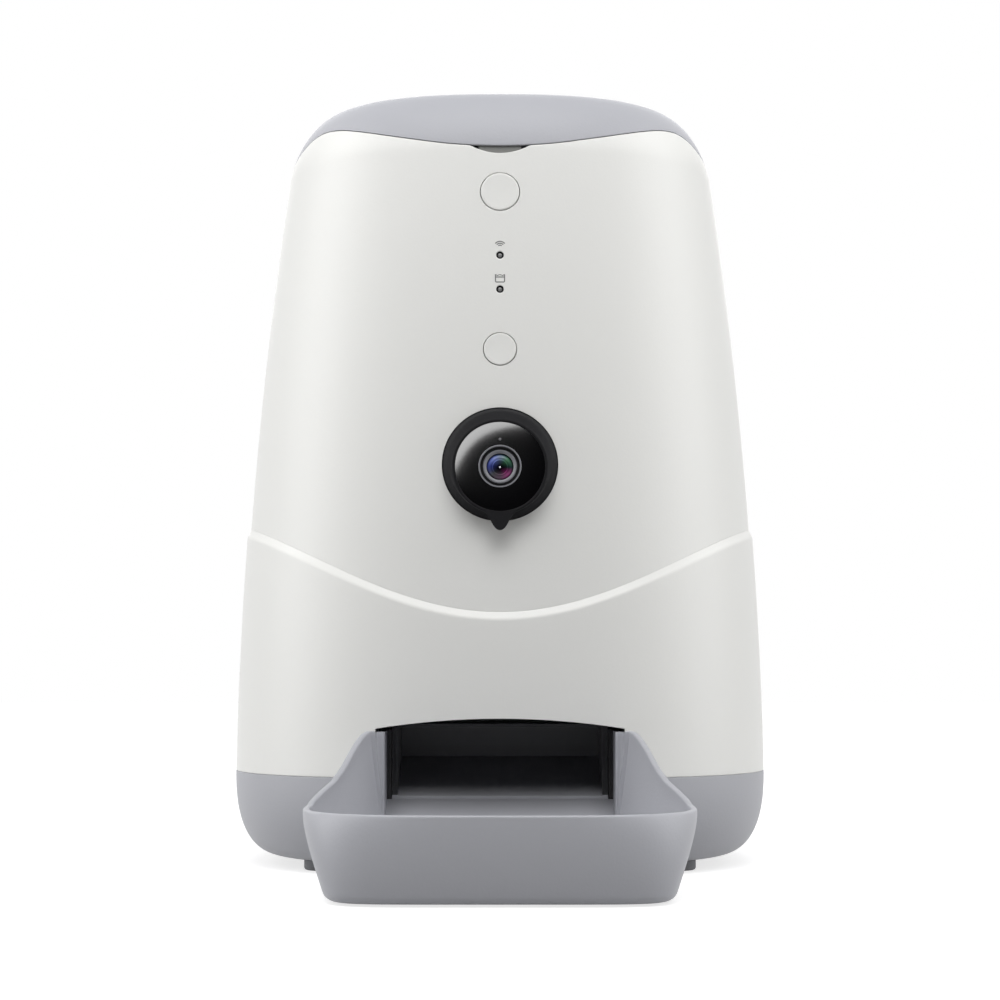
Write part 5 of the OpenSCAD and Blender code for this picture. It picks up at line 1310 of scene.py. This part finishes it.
def buildLensReflections():
    # painted reflections: the hue changes round and across the front element as painted coloured reflections
    # of its coating, with painted bright rings and a painted white glint at the middle
    material = bpy.data.materials.new("lensPaintedReflections")
    material.use_nodes = True
    tree = material.node_tree
    shader = tree.nodes["Principled BSDF"]
    shader.inputs["Roughness"].default_value = 0.12
    shader.inputs["Specular IOR Level"].default_value = 0.2
    middle = toRow(lensMatrix() @ Vector((0, 0, 10)))
    offset = vectorNode(tree, "SUBTRACT", {0: objectPlace(tree), 1: middle})
    apart = addNode(tree, "SeparateXYZ", {0: offset[0]})
    across, up = apart.outputs["X"], apart.outputs["Z"]
    turn = mathNode(tree, "DIVIDE", mathNode(tree, "ARCTAN2", up, across), 2 * pi)
    # painted reflection colours, round the element
    reflectionHues = rampNode(tree, mathNode(tree, "FRACT", mathNode(tree, "ADD", turn, 1.0), 0), [
        (0.0, tint(40, 60, 62)), (0.13, tint(84, 140, 104)), (0.25, tint(120, 138, 170)),
        (0.36, tint(128, 146, 226)), (0.48, tint(72, 84, 160)), (0.62, tint(78, 80, 86)),
        (0.76, tint(110, 76, 104)), (0.88, tint(170, 62, 134)), (1.0, tint(40, 60, 62))])
    away = mathNode(tree, "SQRT", mathNode(tree, "ADD", mathNode(tree, "MULTIPLY", across, across),
                                           mathNode(tree, "MULTIPLY", up, up)), 0)
    # painted highlight rings across the element, dark between them
    highlightBands = rampNode(tree, mathNode(tree, "DIVIDE", away, lensForm["element"] * mm), [
        (place, (level, level, level, 1)) for place, level in (
            (0.0, 0.02), (0.16, 0.02), (0.3, 0.10), (0.5, 0.22), (0.56, 0.9), (0.6, 0.35), (0.82, 0.95),
            (0.96, 0.6), (1.0, 0.2))])
    rings = mixNode(tree, highlightBands, tint(4, 4, 8), reflectionHues)
    # painted white glint at the middle of the element
    spark = mathNode(tree, "LESS_THAN", away, lensForm["spark"] * lensForm["element"] * mm)
    feed(tree, shader.inputs["Base Color"], mixNode(tree, spark, rings, tint(236, 238, 244)))
    return material


lensWell = moulded("lensWell", tint(26, 26, 28), 0.35, drift=0.05, grain=1500, depth=0.03)
ringSilver = moulded("ringSilver", tint(128, 129, 134), 0.4, drift=0.05, grain=1500, depth=0.02)
dotGrey = moulded("dotGrey", tint(104, 104, 108), 0.6, drift=0.1, grain=2000, depth=0.05)
# the lens dome's colours are painted reflections, highlights and a glint
lensPaintedReflections = buildLensReflections()
buildRing()
cameraGlass = buildGlass()
buildLens()
print("stage: camera")

# a softbox up on the left that only the window mirrors
glassBox = {"off": 25.4, "round": 106.5, "tilt": 128, "apart": 0.9, "size": (0.42, 0.2), "watts": 4.6}

offAxis, roundAxis, tiltAxis = (radians(glassBox[k]) for k in ("off", "round", "tilt"))
outward = Vector((sin(offAxis) * cos(roundAxis), -cos(offAxis),
                  sin(offAxis) * sin(roundAxis)))
sideways = Vector((-sin(tiltAxis), 0, cos(tiltAxis)))
sideways = (sideways - sideways.dot(outward) * outward).normalized()
boxTurn = Matrix((sideways, outward.cross(sideways), outward)).transposed().to_4x4()
boxPlace = Vector(toRow(lensMatrix() @ Vector((0, 0, lensFace)))) + glassBox["apart"] * outward
addLamp("glassBox", glassBox, [cameraGlass]).matrix_world = Matrix.Translation(boxPlace) @ boxTurn
print("stage: softbox for the window")


# the other solids keep their shape and take these finishes
nodeFinish = {
    "dispenser_drum": paleInner, "discharge_chute": chuteLitAndShaded, "gearbox_housing": darkDuct,
    "gearbox_screws": brightSteel, "drive_motor": brightSteel, "motor_pinion": gearCream,
    "idler_gear": gearCream, "idler_axle": brightSteel, "output_shaft": brightSteel,
    "output_gear": gearCream, "portion_rotor": paleInner, "agitator": greyShell, "main_board": boardGreen,
    "dc_inlet": glossBlack, "speaker": darkDuct, "button_board": boardGreen, "camera_bracket": darkDuct,
    "bracket_screws": brightSteel, "camera_board": boardGreen, "lid_seal": softRubber,
    "desiccant_cover": greyShell, "hinge_pin": brightSteel,
}
for nodeName, finish in nodeFinish.items():
    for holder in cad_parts[nodeName].material_slots:
        holder.link = "OBJECT"
        holder.material = finish
print("stage: finishes on", len(nodeFinish), "solids")

# light that falls into the throat from the front and reaches the chute alone
throatFill = {"at": (0.0, -0.8, 1.08), "size": (1.0, 0.8), "watts": 6.5}

fillObject = addLamp("throatFill", throatFill, [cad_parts["discharge_chute"], throatTrim])
aimLamp(fillObject, throatFill["at"], Vector((0, 0, 0.04)))
